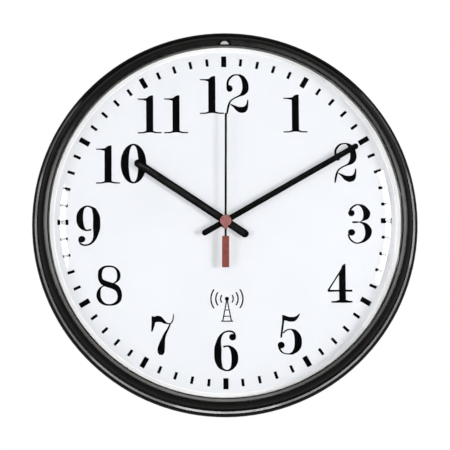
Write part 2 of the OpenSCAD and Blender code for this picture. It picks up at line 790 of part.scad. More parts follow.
module tact_switches() color([0.2, 0.2, 0.22]) moved() {
    for (p = button_spots) {
        at(p, board_u - tact_t) translate([-tact_w / 2, -tact_w / 2, 0]) cube([tact_w, tact_w, tact_t]);
        at(p, plunger_u) cylinder(r = 1.1, h = board_u - tact_t / 2 - plunger_u);
    }
}

module slide_switch() color([0.75, 0.75, 0.78]) moved() {
    at(knob_at, board_u - 0.9) translate([-3, -1.8, 0]) cube([6 + switch_travel, 3.6, 0.9]);
}

module daylight_saving_knob() color([0.9, 0.9, 0.9]) moved() {
    at(knob_at, -knob_proud) translate([-knob_hw, -knob_hh, 0])
        cube([2 * knob_hw, 2 * knob_hh, knob_proud + 2.9]);
    at(knob_at, cover_t + fit) translate([-2, -1.6, 0]) cube([4, 3.2, 0.5]);
}

// Push button: cap that stands proud of the cover when pressed, and a flange that keeps it in
module button(p, proud) {
    moved() {
        at(p, -button_travel - proud) cylinder(r = button_r, h = cover_t + button_travel + proud + 0.2);
        at(p, cover_t + fit) cylinder(r = button_r + 0.7, h = button_flange_t);
    }
}

module time_set_button() color([0.85, 0.85, 0.85]) button([control_x[0], control_y], cap_proud);
module receive_button() color([0.85, 0.85, 0.85]) button([control_x[1], control_y], cap_proud);
module reset_button() color([0.7, 0.2, 0.2]) button([control_x[2], control_y], 0.1);
module pacific_zone_button() color([0.85, 0.85, 0.85]) button([zone_x[0], zone_y], cap_proud);
module mountain_zone_button() color([0.85, 0.85, 0.85]) button([zone_x[1], zone_y], cap_proud);
module central_zone_button() color([0.85, 0.85, 0.85]) button([zone_x[2], zone_y], cap_proud);
module eastern_zone_button() color([0.85, 0.85, 0.85]) button([zone_x[3], zone_y], cap_proud);

module antenna_rod() color([0.2, 0.2, 0.21]) moved()
    translate([-rod_hl, antenna_y, antenna_u]) rotate([0, 90, 0]) cylinder(r = rod_r, h = 2 * rod_hl);

module antenna_coil() color([0.7, 0.35, 0.15]) moved()
    translate([antenna_coil_x[0], antenna_y, antenna_u]) rotate([0, 90, 0])
        tube(antenna_coil_r, rod_r + seat, antenna_coil_x[1] - antenna_coil_x[0] - 1);

// Stepping motors: side is -1 on the left and 1 on the right
module stator(rotor_at, side) {
    moved() difference() {
        translate([0, 0, stator_u]) linear_extrude(stator_t) {
            translate(rotor_at) circle(r = stator_r);
            for (s = [-1, 1]) {
                elbow = [side * (coil_x - coil_r - 2.4), s * (coil_hl + 2)];
                strip_2d(rotor_at + [side * 2, s * 3.5], elbow, stator_w);
                strip_2d(elbow, [side * coil_x, elbow[1]], stator_w);
            }
            translate([side * coil_x - core_w / 2, -coil_hl - 2]) square([core_w, 2 * coil_hl + 4]);
        }
        at(rotor_at, stator_u - 1) cylinder(r = rotor_hole_r, h = 4);
    }
}

module motor_coil(side) {
    length = 2 * coil_hl - 0.6;
    cheek = 0.8;
    slot = [core_w + 2 * fit, stator_t + 2 * fit];
    moved() translate([side * coil_x, -length / 2, stator_u + stator_t / 2])
        rotate([-90, 0, 0]) difference() {
            union() {
                cylinder(r = coil_r - 0.4, h = length);
                for (z = [0, length - cheek]) translate([0, 0, z]) cylinder(r = coil_r, h = cheek);
            }
            translate([-slot[0] / 2, -slot[1] / 2, -1]) cube([slot[0], slot[1], length + 2]);
        }
}

module rotor(p, dir) {
    moved() at(p) {
        arbor(arbor_r, plate_u + plate_t - 0.1);
        translate([0, 0, stator_u - 0.1]) cylinder(r = magnet_r, h = magnet_t);
        translate([0, 0, rotor_pinion_u]) gear(train_m, pinion_teeth, dir + 180, 1.3, true);
    }
}

module seconds_stator() color([0.55, 0.55, 0.58]) stator(seconds_rotor_at, -1);
module seconds_coil() color([0.7, 0.35, 0.15]) motor_coil(-1);
module seconds_rotor() color([0.3, 0.3, 0.32]) rotor(seconds_rotor_at, seconds_rotor_dir);
module minute_stator() color([0.55, 0.55, 0.58]) stator(minute_rotor_at, 1);
module minute_coil() color([0.7, 0.35, 0.15]) motor_coil(1);
module minute_rotor() color([0.3, 0.3, 0.32]) rotor(minute_rotor_at, minute_rotor_dir);

// Arbor from the rear bridge up to the given height
module arbor(r, top) {
    translate([0, 0, arbor_foot]) cylinder(r = r, h = top - arbor_foot);
}

// Transfer wheel of the seconds train: low pinion, high wheel
module seconds_transfer_wheel() color([0.9, 0.88, 0.8]) moved() at(seconds_transfer_at) {
    arbor(arbor_r, plate_u + plate_t - 0.1);
    translate([0, 0, seconds_pinion_u])
        gear(train_m, pinion_teeth, seconds_dir + 180, transfer_wheel_u - seconds_pinion_u + 0.1, true);
    difference() {
        translate([0, 0, transfer_wheel_u]) gear(train_m, seconds_transfer_teeth, seconds_rotor_dir, wheel_t);
        spoke_holes(4, train_m, seconds_transfer_teeth, hub_wall, transfer_wheel_u);
    }
}

module seconds_wheel() color([0.9, 0.88, 0.8]) moved() {
    difference() {
        translate([0, 0, seconds_wheel_u]) gear(train_m, seconds_teeth, seconds_dir, seconds_wheel_t);
        spoke_holes(5, train_m, seconds_teeth, minute_pipe_r, seconds_wheel_u);
    }
    translate([0, 0, seconds_wheel_u]) cylinder(r = minute_pipe_r, h = 2.4);
    arbor(second_pin_r, second_hand_z + 0.2 - move_z);
}

// Transfer wheel of the minute train: low wheel, pinion above the middle plate
module minute_transfer_wheel() color([0.9, 0.88, 0.8]) moved() at(minute_transfer_at) {
    arbor(arbor_r, front_in + 0.8);
    translate([0, 0, upper_pinion_u]) gear(train_m, pinion_teeth, minute_dir + 180, 1.4, true);
    difference() {
        translate([0, 0, transfer_wheel_u]) gear(train_m, minute_transfer_teeth, minute_rotor_dir, wheel_t);
        spoke_holes(5, train_m, minute_transfer_teeth, hub_wall, transfer_wheel_u);
    }
}

// Minute wheel, cannon pinion and minute pipe in one piece
module minute_wheel() color([0.92, 0.9, 0.82]) moved() {
    difference() {
        union() {
            difference() {
                translate([0, 0, minute_wheel_u]) gear(train_m, minute_teeth, minute_dir, minute_wheel_t);
                spoke_holes(6, train_m, minute_teeth, 3, minute_wheel_u);
            }
            translate([0, 0, upper_pinion_u]) cylinder(r = 2.3, h = cannon_u - upper_pinion_u);
            translate([0, 0, cannon_u - eps]) gear(cannon_m, cannon_teeth, motion_dir, cannon_t);
            translate([0, 0, minute_wheel_u])
                cylinder(r = minute_pipe_r, h = minute_hand_z + hand_t + 0.1 - move_z - minute_wheel_u);
        }
        cylinder(r = second_pin_r + run_gap, h = 60);
    }
}

// Motion wheel and pinion, turning on a post of the housing
module motion_wheel() color([0.9, 0.88, 0.8]) moved() at(motion_at) difference() {
    union() {
        difference() {
            translate([0, 0, motion_wheel_u])
                gear(cannon_m, motion_teeth, motion_dir + 180, motion_wheel_t, true);
            spoke_holes(4, cannon_m, motion_teeth, hub_wall + 1, motion_wheel_u);
        }
        translate([0, 0, motion_wheel_u + motion_wheel_t - eps])
            gear(hour_m, motion_pinion_teeth, motion_dir + 180, motion_pinion_t);
    }
    translate([0, 0, motion_post_u - 1]) cylinder(r = motion_post_r + run_gap, h = 8);
}

module hour_wheel() color([0.92, 0.9, 0.82]) moved() difference() {
    union() {
        difference() {
            translate([0, 0, hour_wheel_u]) gear(hour_m, hour_teeth, motion_dir, hour_wheel_t, true);
            spoke_holes(5, hour_m, hour_teeth, hour_pipe_r, hour_wheel_u);
        }
        translate([0, 0, hour_wheel_u])
            cylinder(r = hour_pipe_r, h = hour_hand_z + hand_t + 0.2 - move_z - hour_wheel_u);
    }
    cylinder(r = minute_pipe_r + run_gap, h = 60);
}

// Battery lying along x, its nub to the right
module battery() color([0.2, 0.45, 0.25]) moved()
    translate([-battery_len / 2, battery_y, battery_u]) rotate([0, 90, 0]) {
        cylinder(r = battery_d / 2, h = battery_len - 1.4);
        cylinder(r = 2.7, h = battery_len);
    }

// Leaf contact: flat back on the bay's end wall, a tongue that leans on the battery, a tail to the board
module contact(side) {
    reach = bay_hl - battery_len / 2 - fit;
    moved() scale([side, 1, 1]) {
        translate([bay_hl, battery_y - contact_w / 2, 0]) rotate([-90, 0, 0]) linear_extrude(contact_w)
            polygon([[0, -contact_us[0]], [-contact_t, -contact_us[0]], [-reach, -battery_u],
                [-contact_t, -contact_us[1]], [0, -contact_us[1]], [0, contact_t - contact_us[1]],
                [-reach + 0.6, -battery_u], [0, -contact_us[0] - contact_t]]);
        translate([bay_hl - contact_t, battery_y + 2, board_u - 0.6])
            cube([contact_t, bay_high + 3.2 - battery_y - 2, 0.6]);
    }
}

module positive_contact() color([0.82, 0.82, 0.85]) contact(1);
module negative_contact() color([0.82, 0.82, 0.85]) contact(-1);

bezel();
lens();
lens_catch();
dial_ring();
dial();
rear_case();
bezel_screws();
hanger_plate();
hanger_screws();
hour_hand();
hour_hand_collet();
minute_hand();
minute_hand_collet();
second_hand();
second_hand_hub();
second_hand_counterweight();
second_hand_pipe();
mounting_nut();
nut_washer();
movement_gasket();
threaded_bushing();
movement_housing();
movement_cover();
cover_screws();
middle_plate();
rear_bridge();
bridge_screws();
circuit_board();
board_screws();
control_chip();
quartz_crystals();
tact_switches();
slide_switch();
daylight_saving_knob();
time_set_button();
receive_button();
reset_button();
pacific_zone_button();
mountain_zone_button();
central_zone_button();
eastern_zone_button();
antenna_rod();
antenna_coil();
seconds_stator();
seconds_coil();
seconds_rotor();
seconds_transfer_wheel();
seconds_wheel();
minute_stator();
minute_coil();
minute_rotor();
minute_transfer_wheel();
minute_wheel();
motion_wheel();
hour_wheel();
battery();
positive_contact();
negative_contact();
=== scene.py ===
import math

import bmesh
import bpy
import numpy as np
from mathutils import Matrix, Quaternion, Vector


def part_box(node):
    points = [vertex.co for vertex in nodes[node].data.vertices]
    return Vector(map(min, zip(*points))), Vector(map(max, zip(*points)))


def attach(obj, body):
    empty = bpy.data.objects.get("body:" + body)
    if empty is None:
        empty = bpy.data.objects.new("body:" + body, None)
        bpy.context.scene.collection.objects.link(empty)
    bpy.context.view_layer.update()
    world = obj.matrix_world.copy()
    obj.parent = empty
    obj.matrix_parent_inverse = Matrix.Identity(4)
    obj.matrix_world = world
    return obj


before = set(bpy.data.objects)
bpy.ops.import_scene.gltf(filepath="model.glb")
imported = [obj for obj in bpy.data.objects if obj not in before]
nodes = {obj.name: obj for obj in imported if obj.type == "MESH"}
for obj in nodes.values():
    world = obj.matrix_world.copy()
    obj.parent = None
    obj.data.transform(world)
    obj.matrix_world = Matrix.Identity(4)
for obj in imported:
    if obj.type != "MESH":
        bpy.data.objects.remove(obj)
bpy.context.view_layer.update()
mm = 0.001

dialLow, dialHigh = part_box("dial")
axisX = (dialLow.x + dialHigh.x) / 2
axisZ = (dialLow.z + dialHigh.z) / 2
faceY = dialLow.y
dialCentre = Vector((axisX, faceY, axisZ))
print("frame loaded,", len(nodes), "nodes")

# Camera: in front of the dial, a little low and left, as the photograph was taken
cameraSetup = {"distance": 1.6, "azimuth": -1.0, "elevation": -5.5, "lens": 154.2, "roll": 0.4,
               "aimRight": -0.00047, "aimDown": 0.0030}


def direction(turn, rise):
    # From the dial's centre towards the viewer, turned to the right and raised by two angles in degrees
    a, e = math.radians(turn), math.radians(rise)
    return Vector((math.sin(a) * math.cos(e), -math.cos(a) * math.cos(e), math.sin(e)))


def placeCamera(setup):
    # The camera stands at distance from the dial's centre along the direction of its two angles
    back = direction(setup["azimuth"], setup["elevation"])
    data = bpy.data.cameras.new("photoCamera")
    data.lens = setup["lens"]
    data.sensor_width = 36
    data.clip_start = 0.05
    data.clip_end = 60
    camera = bpy.data.objects.new("photoCamera", data)
    camera.location = dialCentre + back * setup["distance"]
    aim = dialCentre + Vector((setup["aimRight"], 0, -setup["aimDown"]))
    look = (aim - camera.location).to_track_quat("-Z", "Y")
    camera.rotation_mode = "QUATERNION"
    camera.rotation_quaternion = look @ Quaternion((0, 0, 1), math.radians(-setup["roll"]))
    bpy.context.collection.objects.link(camera)
    bpy.context.scene.camera = camera
    return camera


photoCamera = placeCamera(cameraSetup)
print("camera placed")


# Node groups shared by the materials


def setInputs(tree, node, values):
    # A value that is another node's socket becomes a link, any other value a constant
    for key, value in values.items():
        if isinstance(value, bpy.types.NodeSocket):
            tree.links.new(value, node.inputs[key])
        else:
            node.inputs[key].default_value = value


def addNode(tree, kind, values, **settings):
    made = tree.nodes.new(kind)
    for key, value in settings.items():
        setattr(made, key, value)
    setInputs(tree, made, values)
    return made


def calc(tree, operation, *values):
    return addNode(tree, "ShaderNodeMath", dict(enumerate(values)), operation=operation).outputs[0]


def vectorCalc(tree, operation, *values):
    return addNode(tree, "ShaderNodeVectorMath", dict(enumerate(values)), operation=operation).outputs


def addNoise(tree, vector, scale, detail, **more):
    values = {"Vector": vector, "Scale": scale, "Detail": detail, **more}
    return addNode(tree, "ShaderNodeTexNoise", values).outputs["Fac"]


def ranged(tree, value, low, high, start=0.0, end=1.0, **settings):
    # A value between low and high carried over to one between start and end
    values = {"Value": value, "From Min": low, "From Max": high, "To Min": start, "To Max": end}
    return addNode(tree, "ShaderNodeMapRange", values, **settings).outputs[0]


def mixColours(tree, share, first, second):
    return addNode(tree, "ShaderNodeMix", {0: share, 6: first, 7: second}, data_type="RGBA").outputs[2]


def mixNumbers(tree, share, first, second):
    return addNode(tree, "ShaderNodeMix", {0: share, 2: first, 3: second}, data_type="FLOAT").outputs[0]


def axisDistance(tree, place, axis):
    # Distance from an axis along y
    away = vectorCalc(tree, "SUBTRACT", place, axis)["Vector"]
    flat = vectorCalc(tree, "MULTIPLY", away, (1, 0, 1))["Vector"]
    return vectorCalc(tree, "LENGTH", flat)["Value"]


def newGroup(name, inputs, outputs):
    tree = bpy.data.node_groups.new(name, "ShaderNodeTree")
    for label, kind, value in inputs:
        socket = tree.interface.new_socket(name=label, in_out="INPUT", socket_type=kind)
        if value is not None:
            socket.default_value = value
    for label, kind in outputs:
        tree.interface.new_socket(name=label, in_out="OUTPUT", socket_type=kind)
    return tree, tree.nodes.new("NodeGroupInput").outputs, tree.nodes.new("NodeGroupOutput")


vec, col, num = "NodeSocketVector", "NodeSocketColor", "NodeSocketFloat"


def buildUnevenTone():
    # Two colours mixed by soft noise, as moulded or painted surfaces vary
    tree, given, end = newGroup("unevenTone", [
        ("Vector", vec, None), ("Dark", col, (0.1, 0.1, 0.1, 1)), ("Light", col, (0.2, 0.2, 0.2, 1)),
        ("Scale", num, 60.0), ("Contrast", num, 0.3)], [("Color", col)])
    soft = addNoise(tree, given["Vector"], given["Scale"], 5.0, Roughness=0.6)
    low = calc(tree, "SUBTRACT", 0.5, given["Contrast"])
    high = calc(tree, "ADD", 0.5, given["Contrast"])
    share = ranged(tree, soft, low, high, interpolation_type="SMOOTHSTEP")
    setInputs(tree, end, {"Color": mixColours(tree, share, given["Dark"], given["Light"])})
    return tree


def buildMouldGrain():
    # Spark-eroded mould texture: small rounded cells broken up by finer noise
    tree, given, end = newGroup("mouldGrain", [
        ("Vector", vec, None), ("Scale", num, 1500.0), ("Fine", num, 0.4)], [("Height", num)])
    place = {"Vector": given["Vector"], "Scale": given["Scale"]}
    cells = addNode(tree, "ShaderNodeTexVoronoi", place, feature="F1").outputs["Distance"]
    finer = addNoise(tree, given["Vector"], calc(tree, "MULTIPLY", given["Scale"], 2.7), 3.0)
    setInputs(tree, end, {"Height": mixNumbers(tree, given["Fine"], cells, finer)})
    return tree


def buildSmudge():
    # A roughness that drifts between two values in broad patches, with a few finer streaks
    tree, given, end = newGroup("smudge", [
        ("Vector", vec, None), ("Scale", num, 25.0), ("Least", num, 0.3), ("Most", num, 0.45)],
        [("Roughness", num)])
    broad = addNoise(tree, given["Vector"], given["Scale"], 2.0, Distortion=0.6)
    fine = addNoise(tree, given["Vector"], calc(tree, "MULTIPLY", given["Scale"], 7.0), 4.0)
    both = mixNumbers(tree, 0.35, broad, fine)
    setInputs(tree, end, {"Roughness": ranged(tree, both, 0.35, 0.65, given["Least"], given["Most"])})
    return tree


def buildBrushedLines():
    # Noise drawn out along one direction by unequal scales
    tree, given, end = newGroup("brushedLines", [
        ("Vector", vec, None), ("Stretch", vec, (1500.0, 1500.0, 60.0))], [("Height", num)])
    drawn = vectorCalc(tree, "MULTIPLY", given["Vector"], given["Stretch"])["Vector"]
    setInputs(tree, end, {"Height": addNoise(tree, drawn, 1.0, 4.0, Roughness=0.65)})
    return tree


def buildTurnedRings():
    # Rings about an axis along y: the sine of the distance from the axis over the pitch
    tree, given, end = newGroup("turnedRings", [
        ("Vector", vec, None), ("Axis", vec, (0.0, 0.0, 0.0)), ("Pitch", num, 0.0003)],
        [("Height", num)])
    turns = calc(tree, "DIVIDE", axisDistance(tree, given["Vector"], given["Axis"]), given["Pitch"])
    wave = calc(tree, "SINE", calc(tree, "MULTIPLY", turns, math.tau))
    fine = addNoise(tree, given["Vector"], 900.0, 3.0)
    setInputs(tree, end, {"Height": calc(tree, "MULTIPLY_ADD", wave, 0.5, fine)})
    return tree


def buildWindings():
    # Round wires side by side: half circles along a direction, one to each pitch. The second output is a
    # painted-shade mask, strongest in the crease between two turns
    tree, given, end = newGroup("windings", [
        ("Vector", vec, None), ("Along", vec, (1.0, 0.0, 0.0)), ("Pitch", num, 0.0003)],
        [("Height", num), ("Gap", num)])
    along = vectorCalc(tree, "DOT_PRODUCT", given["Vector"], given["Along"])["Value"]
    part = calc(tree, "FRACT", calc(tree, "DIVIDE", along, given["Pitch"]))
    middle = calc(tree, "SUBTRACT", part, 0.5)
    square = calc(tree, "MULTIPLY", middle, middle)
    height = calc(tree, "SQRT", calc(tree, "SUBTRACT", 0.25, square))
    setInputs(tree, end, {"Height": height, "Gap": ranged(tree, height, 0.0, 0.3, 1.0, 0.0)})
    return tree


def buildDust():
    # Sparse soft specks where fine noise passes a level
    tree, given, end = newGroup("dust", [
        ("Vector", vec, None), ("Scale", num, 400.0), ("Amount", num, 0.3)], [("Mask", num)])
    fine = addNoise(tree, given["Vector"], given["Scale"], 6.0, Roughness=0.7)
    broad = addNoise(tree, given["Vector"], 18.0, 2.0)
    both = calc(tree, "MULTIPLY", ranged(tree, fine, 0.6, 0.75), ranged(tree, broad, 0.4, 0.7))
    setInputs(tree, end, {"Mask": calc(tree, "MULTIPLY", both, given["Amount"])})
    return tree


def buildRingDistance():
    # Distance from an axis along y, as a share of the way from one radius to another
    tree, given, end = newGroup("ringDistance", [
        ("Vector", vec, None), ("Axis", vec, (0.0, 0.0, 0.0)), ("From", num, 0.14), ("To", num, 0.162)],
        [("Share", num)])
    away = axisDistance(tree, given["Vector"], given["Axis"])
    setInputs(tree, end, {"Share": ranged(tree, away, given["From"], given["To"])})
    return tree


groups = {"unevenTone": buildUnevenTone(), "mouldGrain": buildMouldGrain(), "smudge": buildSmudge(),
          "brushedLines": buildBrushedLines(), "turnedRings": buildTurnedRings(),
          "windings": buildWindings(), "dust": buildDust(), "ringDistance": buildRingDistance()}
print("node groups built:", len(groups))


# Materials


def addGroup(tree, name, place, values):
    return addNode(tree, "ShaderNodeGroup", {"Vector": place, **values}, node_tree=groups[name]).outputs


def startMaterial(name):
    material = bpy.data.materials.new(name)
    material.use_nodes = True
    tree = material.node_tree
    tree.nodes.clear()
    shader = tree.nodes.new("ShaderNodeBsdfPrincipled")
    addNode(tree, "ShaderNodeOutputMaterial", {"Surface": shader.outputs[0]})
    return material, tree, shader, tree.nodes.new("ShaderNodeTexCoord").outputs["Object"]


def colour(rgb):
    return (*rgb, 1)


def toneColour(tree, place, finish, scale, contrast=0.3):
    return addGroup(tree, "unevenTone", place, {
        "Dark": colour(finish["dark"]), "Light": colour(finish["light"]),
        "Scale": scale, "Contrast": contrast})["Color"]


def smudged(tree, place, scale, least, most):
    return addGroup(tree, "smudge", place, {"Scale": scale, "Least": least, "Most": most})["Roughness"]


dustColour = (0.35, 0.33, 0.3)


def addTone(tree, shader, place, finish):
    tone = toneColour(tree, place, finish, finish.get("toneScale", 60.0))
    if "dust" in finish:
        specks = addGroup(tree, "dust", place, {"Amount": finish["dust"]})["Mask"]
        tone = mixColours(tree, specks, tone, colour(dustColour))
    setInputs(tree, shader, {"Base Color": tone})
    if "rough" in finish:
        rough = smudged(tree, place, finish.get("smudgeScale", 25.0), *finish["rough"])
        setInputs(tree, shader, {"Roughness": rough})


def addBump(tree, shader, height, depth):
    bump = addNode(tree, "ShaderNodeBump", {"Height": height, "Distance": depth, "Strength": 1.0})
    setInputs(tree, shader, {"Normal": bump.outputs["Normal"]})


def plasticMaterial(name, finish):
    material, tree, shader, place = startMaterial(name)
    addTone(tree, shader, place, finish)
    grain = addGroup(tree, "mouldGrain", place, {
        "Scale": finish["grainScale"], "Fine": finish.get("fine", 0.4)})
    addBump(tree, shader, grain["Height"], finish["grainDepth"])
    setInputs(tree, shader, {"Specular IOR Level": finish.get("specular", 0.5)})
    return material


def bezelMaterial(name, finish):
    # Grained plastic with polished bands: the roughness and the grain's depth change with the radius
    material, tree, shader, place = startMaterial(name)
    addTone(tree, shader, place, finish)
    low, high = finish["zones"][0][0] * mm, finish["zonesEnd"] * mm
    away = addGroup(tree, "ringDistance", place, {"Axis": (axisX, 0, axisZ), "From": low, "To": high})
    bands = addNode(tree, "ShaderNodeValToRGB", {0: away["Share"]})
    ramp = bands.color_ramp
    ramp.interpolation = "CONSTANT"
    for index, (radius, rough) in enumerate(finish["zones"]):
        share = (radius * mm - low) / (high - low)
        step = ramp.elements[0] if index == 0 else ramp.elements.new(share)
        step.position = share
        step.color = (rough, rough, rough, 1)
    ramp.elements.remove(ramp.elements[-1])
    band = bands.outputs["Color"]
    wear = smudged(tree, place, 25.0, -finish["wear"], finish["wear"])
    grain = addGroup(tree, "mouldGrain", place, {"Scale": finish["grainScale"], "Fine": 0.4})
    addBump(tree, shader, calc(tree, "MULTIPLY", grain["Height"], band), finish["grainDepth"])
    setInputs(tree, shader, {
        "Roughness": calc(tree, "ADD", band, wear), "Specular IOR Level": finish["specular"]})
    return material


def brushedMaterial(name, finish):
    material, tree, shader, place = startMaterial(name)
    addTone(tree, shader, place, finish)
    lines = addGroup(tree, "brushedLines", place, {"Stretch": finish["stretch"]})
    addBump(tree, shader, lines["Height"], finish.get("lineDepth", 0.00001))
    setInputs(tree, shader, {"Metallic": finish.get("metallic", 1.0)})
    return material


def turnedMaterial(name, finish):
    material, tree, shader, place = startMaterial(name)
    addTone(tree, shader, place, finish)
    rings = addGroup(tree, "turnedRings", place, {"Axis": (axisX, 0, axisZ), "Pitch": finish["pitch"]})
    addBump(tree, shader, rings["Height"], finish["lineDepth"])
    setInputs(tree, shader, {"Metallic": 1.0})
    return material


def woundMaterial(name, finish):
    # Enamelled wire: a painted shade colour darkens the creases between the turns, and the bump rounds
    # their tops
    material, tree, shader, place = startMaterial(name)
    tone = toneColour(tree, place, finish, 500.0, 0.25)
    wires = addGroup(tree, "windings", place, {"Along": finish["along"], "Pitch": finish["pitch"]})
    setInputs(tree, shader, {
        "Base Color": mixColours(tree, wires["Gap"], tone, colour(finish["gap"])),
        "Roughness": smudged(tree, place, 120.0, 0.22, 0.4), "Metallic": 0.85})
    addBump(tree, shader, wires["Height"], finish["pitch"] * 0.8)
    return material


def lensMaterial(name, finish):
    # A clear pane as a thin mirror: what Fresnel reflects is opaque, and the rest lets light through
    material, tree, shader, place = startMaterial(name)
    addTone(tree, shader, place, finish)
    # Fresnel turns its index over inside the pane, so the inner side is given the inverse
    side = tree.nodes.new("ShaderNodeNewGeometry").outputs["Backfacing"]
    index = ranged(tree, side, 0.0, 1.0, finish["ior"], 1 / finish["ior"])
    fresnel = addNode(tree, "ShaderNodeFresnel", {"IOR": index})
    setInputs(tree, shader, {"Metallic": 1.0, "Alpha": fresnel.outputs[0]})
    addBump(tree, shader, addNoise(tree, place, finish["waveScale"], 0.0), finish["waveDepth"])
    return material


def boardMaterial(name, finish):
    # Solder mask over copper tracks: square-edged bands where a cell pattern changes
    material, tree, shader, place = startMaterial(name)
    tone = toneColour(tree, place, finish, 120.0)
    cells = {"Vector": place, "Scale": finish["trackScale"], "Randomness": 0.7}
    tracks = addNode(tree, "ShaderNodeTexVoronoi", cells, feature="DISTANCE_TO_EDGE", distance="EUCLIDEAN")
    edge = ranged(tree, tracks.outputs["Distance"], 0.03, 0.06, 1.0, 0.0)
    setInputs(tree, shader, {
        "Base Color": mixColours(tree, edge, tone, colour(finish["track"])),
        "Roughness": smudged(tree, place, 80.0, 0.2, 0.35)})
    addBump(tree, shader, edge, finish["trackDepth"])
    return material


def batteryMaterial(name, finish):
    # Printed jacket in two colours with bare steel at both ends, split by the distance along x
    material, tree, shader, place = startMaterial(name)
    split = addNode(tree, "ShaderNodeSeparateXYZ", {0: place})
    away = calc(tree, "SUBTRACT", split.outputs["X"], finish["middle"])
    steel = calc(tree, "GREATER_THAN", calc(tree, "ABSOLUTE", away), finish["jacket"])
    band = calc(tree, "GREATER_THAN", away, finish["band"])
    tone = toneColour(tree, place, finish, 90.0)
    jacket = mixColours(tree, band, tone, colour(finish["bandColour"]))
    setInputs(tree, shader, {
        "Base Color": mixColours(tree, steel, jacket, colour(finish["steel"])), "Metallic": steel,
        "Roughness": smudged(tree, place, 60.0, 0.24, 0.36)})
    return material


def dress(material, *names):
    for name in names:
        piece = nodes[name]
        if not piece.material_slots:
            piece.data.materials.append(material)
        for slot in piece.material_slots:
            slot.material = material


bezelFinish = {"dark": (0.0026, 0.0023, 0.0020), "light": (0.0066, 0.0057, 0.0048), "toneScale": 45.0,
               "grainScale": 1100.0, "grainDepth": 0.00004, "dust": 0.03, "specular": 0.45, "wear": 0.04,
               "zones": ((140.0, 0.5), (146.5, 0.24), (149.6, 0.25), (156.9, 0.14), (159.1, 0.2)),
               "zonesEnd": 165.0}
dress(bezelMaterial("bezelBlack", bezelFinish), "bezel")

backFinish = {"dark": (0.010, 0.010, 0.010), "light": (0.019, 0.018, 0.018), "toneScale": 30.0,
              "rough": (0.42, 0.56), "grainScale": 900.0, "grainDepth": 0.00004, "dust": 0.16}
dress(plasticMaterial("backShellBlack", backFinish), "rear_case")

lensFinish = {"dark": (0.97, 0.985, 0.985), "light": (0.99, 1.0, 1.0), "rough": (0.02, 0.05),
              "smudgeScale": 9.0, "ior": 1.42, "waveScale": 12.0, "waveDepth": 0.00002}
dress(lensMaterial("clearLens", lensFinish), "lens")

catchFinish = {"dark": (0.50, 0.49, 0.47), "light": (0.62, 0.61, 0.59), "rough": (0.3, 0.42),
               "stretch": (300.0, 300.0, 2200.0), "metallic": 0.3}
dress(brushedMaterial("catchNickel", catchFinish), "lens_catch")

ringFinish = {"dark": (0.94, 0.94, 0.94), "light": (0.97, 0.97, 0.97), "toneScale": 40.0,
              "rough": (0.4, 0.5), "grainScale": 1800.0, "grainDepth": 0.000008}
dress(plasticMaterial("ringWhite", ringFinish), "dial_ring")

dialFinish = {"dark": (0.785, 0.803, 0.836), "light": (0.803, 0.822, 0.855), "toneScale": 22.0,
              "rough": (0.45, 0.6), "grainScale": 2500.0, "grainDepth": 0.000001, "fine": 0.7}
dress(plasticMaterial("dialPaint", dialFinish), "dial")

handFinish = {"dark": (0.0010, 0.0010, 0.0010), "light": (0.0024, 0.0024, 0.0024), "toneScale": 300.0,
              "rough": (0.2, 0.27), "grainScale": 4000.0, "grainDepth": 0.000003, "specular": 0.18}
dress(plasticMaterial("handBlack", handFinish), "hour_hand", "minute_hand", "second_hand")

redFinish = {"dark": (0.17, 0.038, 0.028), "light": (0.26, 0.066, 0.050), "toneScale": 220.0,
             "rough": (0.34, 0.44), "grainScale": 3500.0, "grainDepth": 0.000006}
dress(plasticMaterial("handRed", redFinish), "second_hand_counterweight")

hubFinish = {"dark": (0.26, 0.105, 0.088), "light": (0.39, 0.145, 0.15), "toneScale": 260.0,
             "rough": (0.24, 0.34), "grainScale": 3500.0, "grainDepth": 0.000008}
dress(plasticMaterial("hubRed", hubFinish), "second_hand_hub")

brassFinish = {"dark": (0.60, 0.42, 0.17), "light": (0.76, 0.56, 0.26), "toneScale": 260.0,
               "rough": (0.22, 0.36), "pitch": 0.00022, "lineDepth": 0.000008}
dress(turnedMaterial("turnedBrass", brassFinish), "hour_hand_collet", "minute_hand_collet",
      "second_hand_pipe", "mounting_nut", "nut_washer", "threaded_bushing")

gasketFinish = {"dark": (0.012, 0.012, 0.012), "light": (0.022, 0.022, 0.022), "rough": (0.75, 0.88),
                "grainScale": 1600.0, "grainDepth": 0.00004}
dress(plasticMaterial("gasketRubber", gasketFinish), "movement_gasket")

movementFinish = {"dark": (0.014, 0.014, 0.015), "light": (0.026, 0.026, 0.028), "toneScale": 90.0,
                  "rough": (0.36, 0.5), "grainScale": 1700.0, "grainDepth": 0.00003, "dust": 0.08}
dress(plasticMaterial("movementBlack", movementFinish), "movement_housing", "movement_cover")

plateFinish = {"dark": (0.70, 0.67, 0.58), "light": (0.80, 0.77, 0.68), "toneScale": 110.0,
               "rough": (0.38, 0.5), "grainScale": 2200.0, "grainDepth": 0.00001}
dress(plasticMaterial("plateIvory", plateFinish), "middle_plate", "rear_bridge")

gearFinish = {"dark": (0.78, 0.75, 0.66), "light": (0.88, 0.86, 0.79), "toneScale": 240.0,
              "rough": (0.3, 0.42), "grainScale": 3000.0, "grainDepth": 0.000008}
dress(plasticMaterial("gearNatural", gearFinish), "seconds_transfer_wheel", "seconds_wheel",
      "minute_transfer_wheel", "minute_wheel", "motion_wheel", "hour_wheel")

screwFinish = {"dark": (0.50, 0.50, 0.51), "light": (0.66, 0.66, 0.68), "toneScale": 500.0,
               "rough": (0.26, 0.4), "stretch": (1800.0, 400.0, 1800.0)}
dress(brushedMaterial("screwZinc", screwFinish), "bezel_screws", "hanger_screws", "cover_screws",
      "bridge_screws", "board_screws")

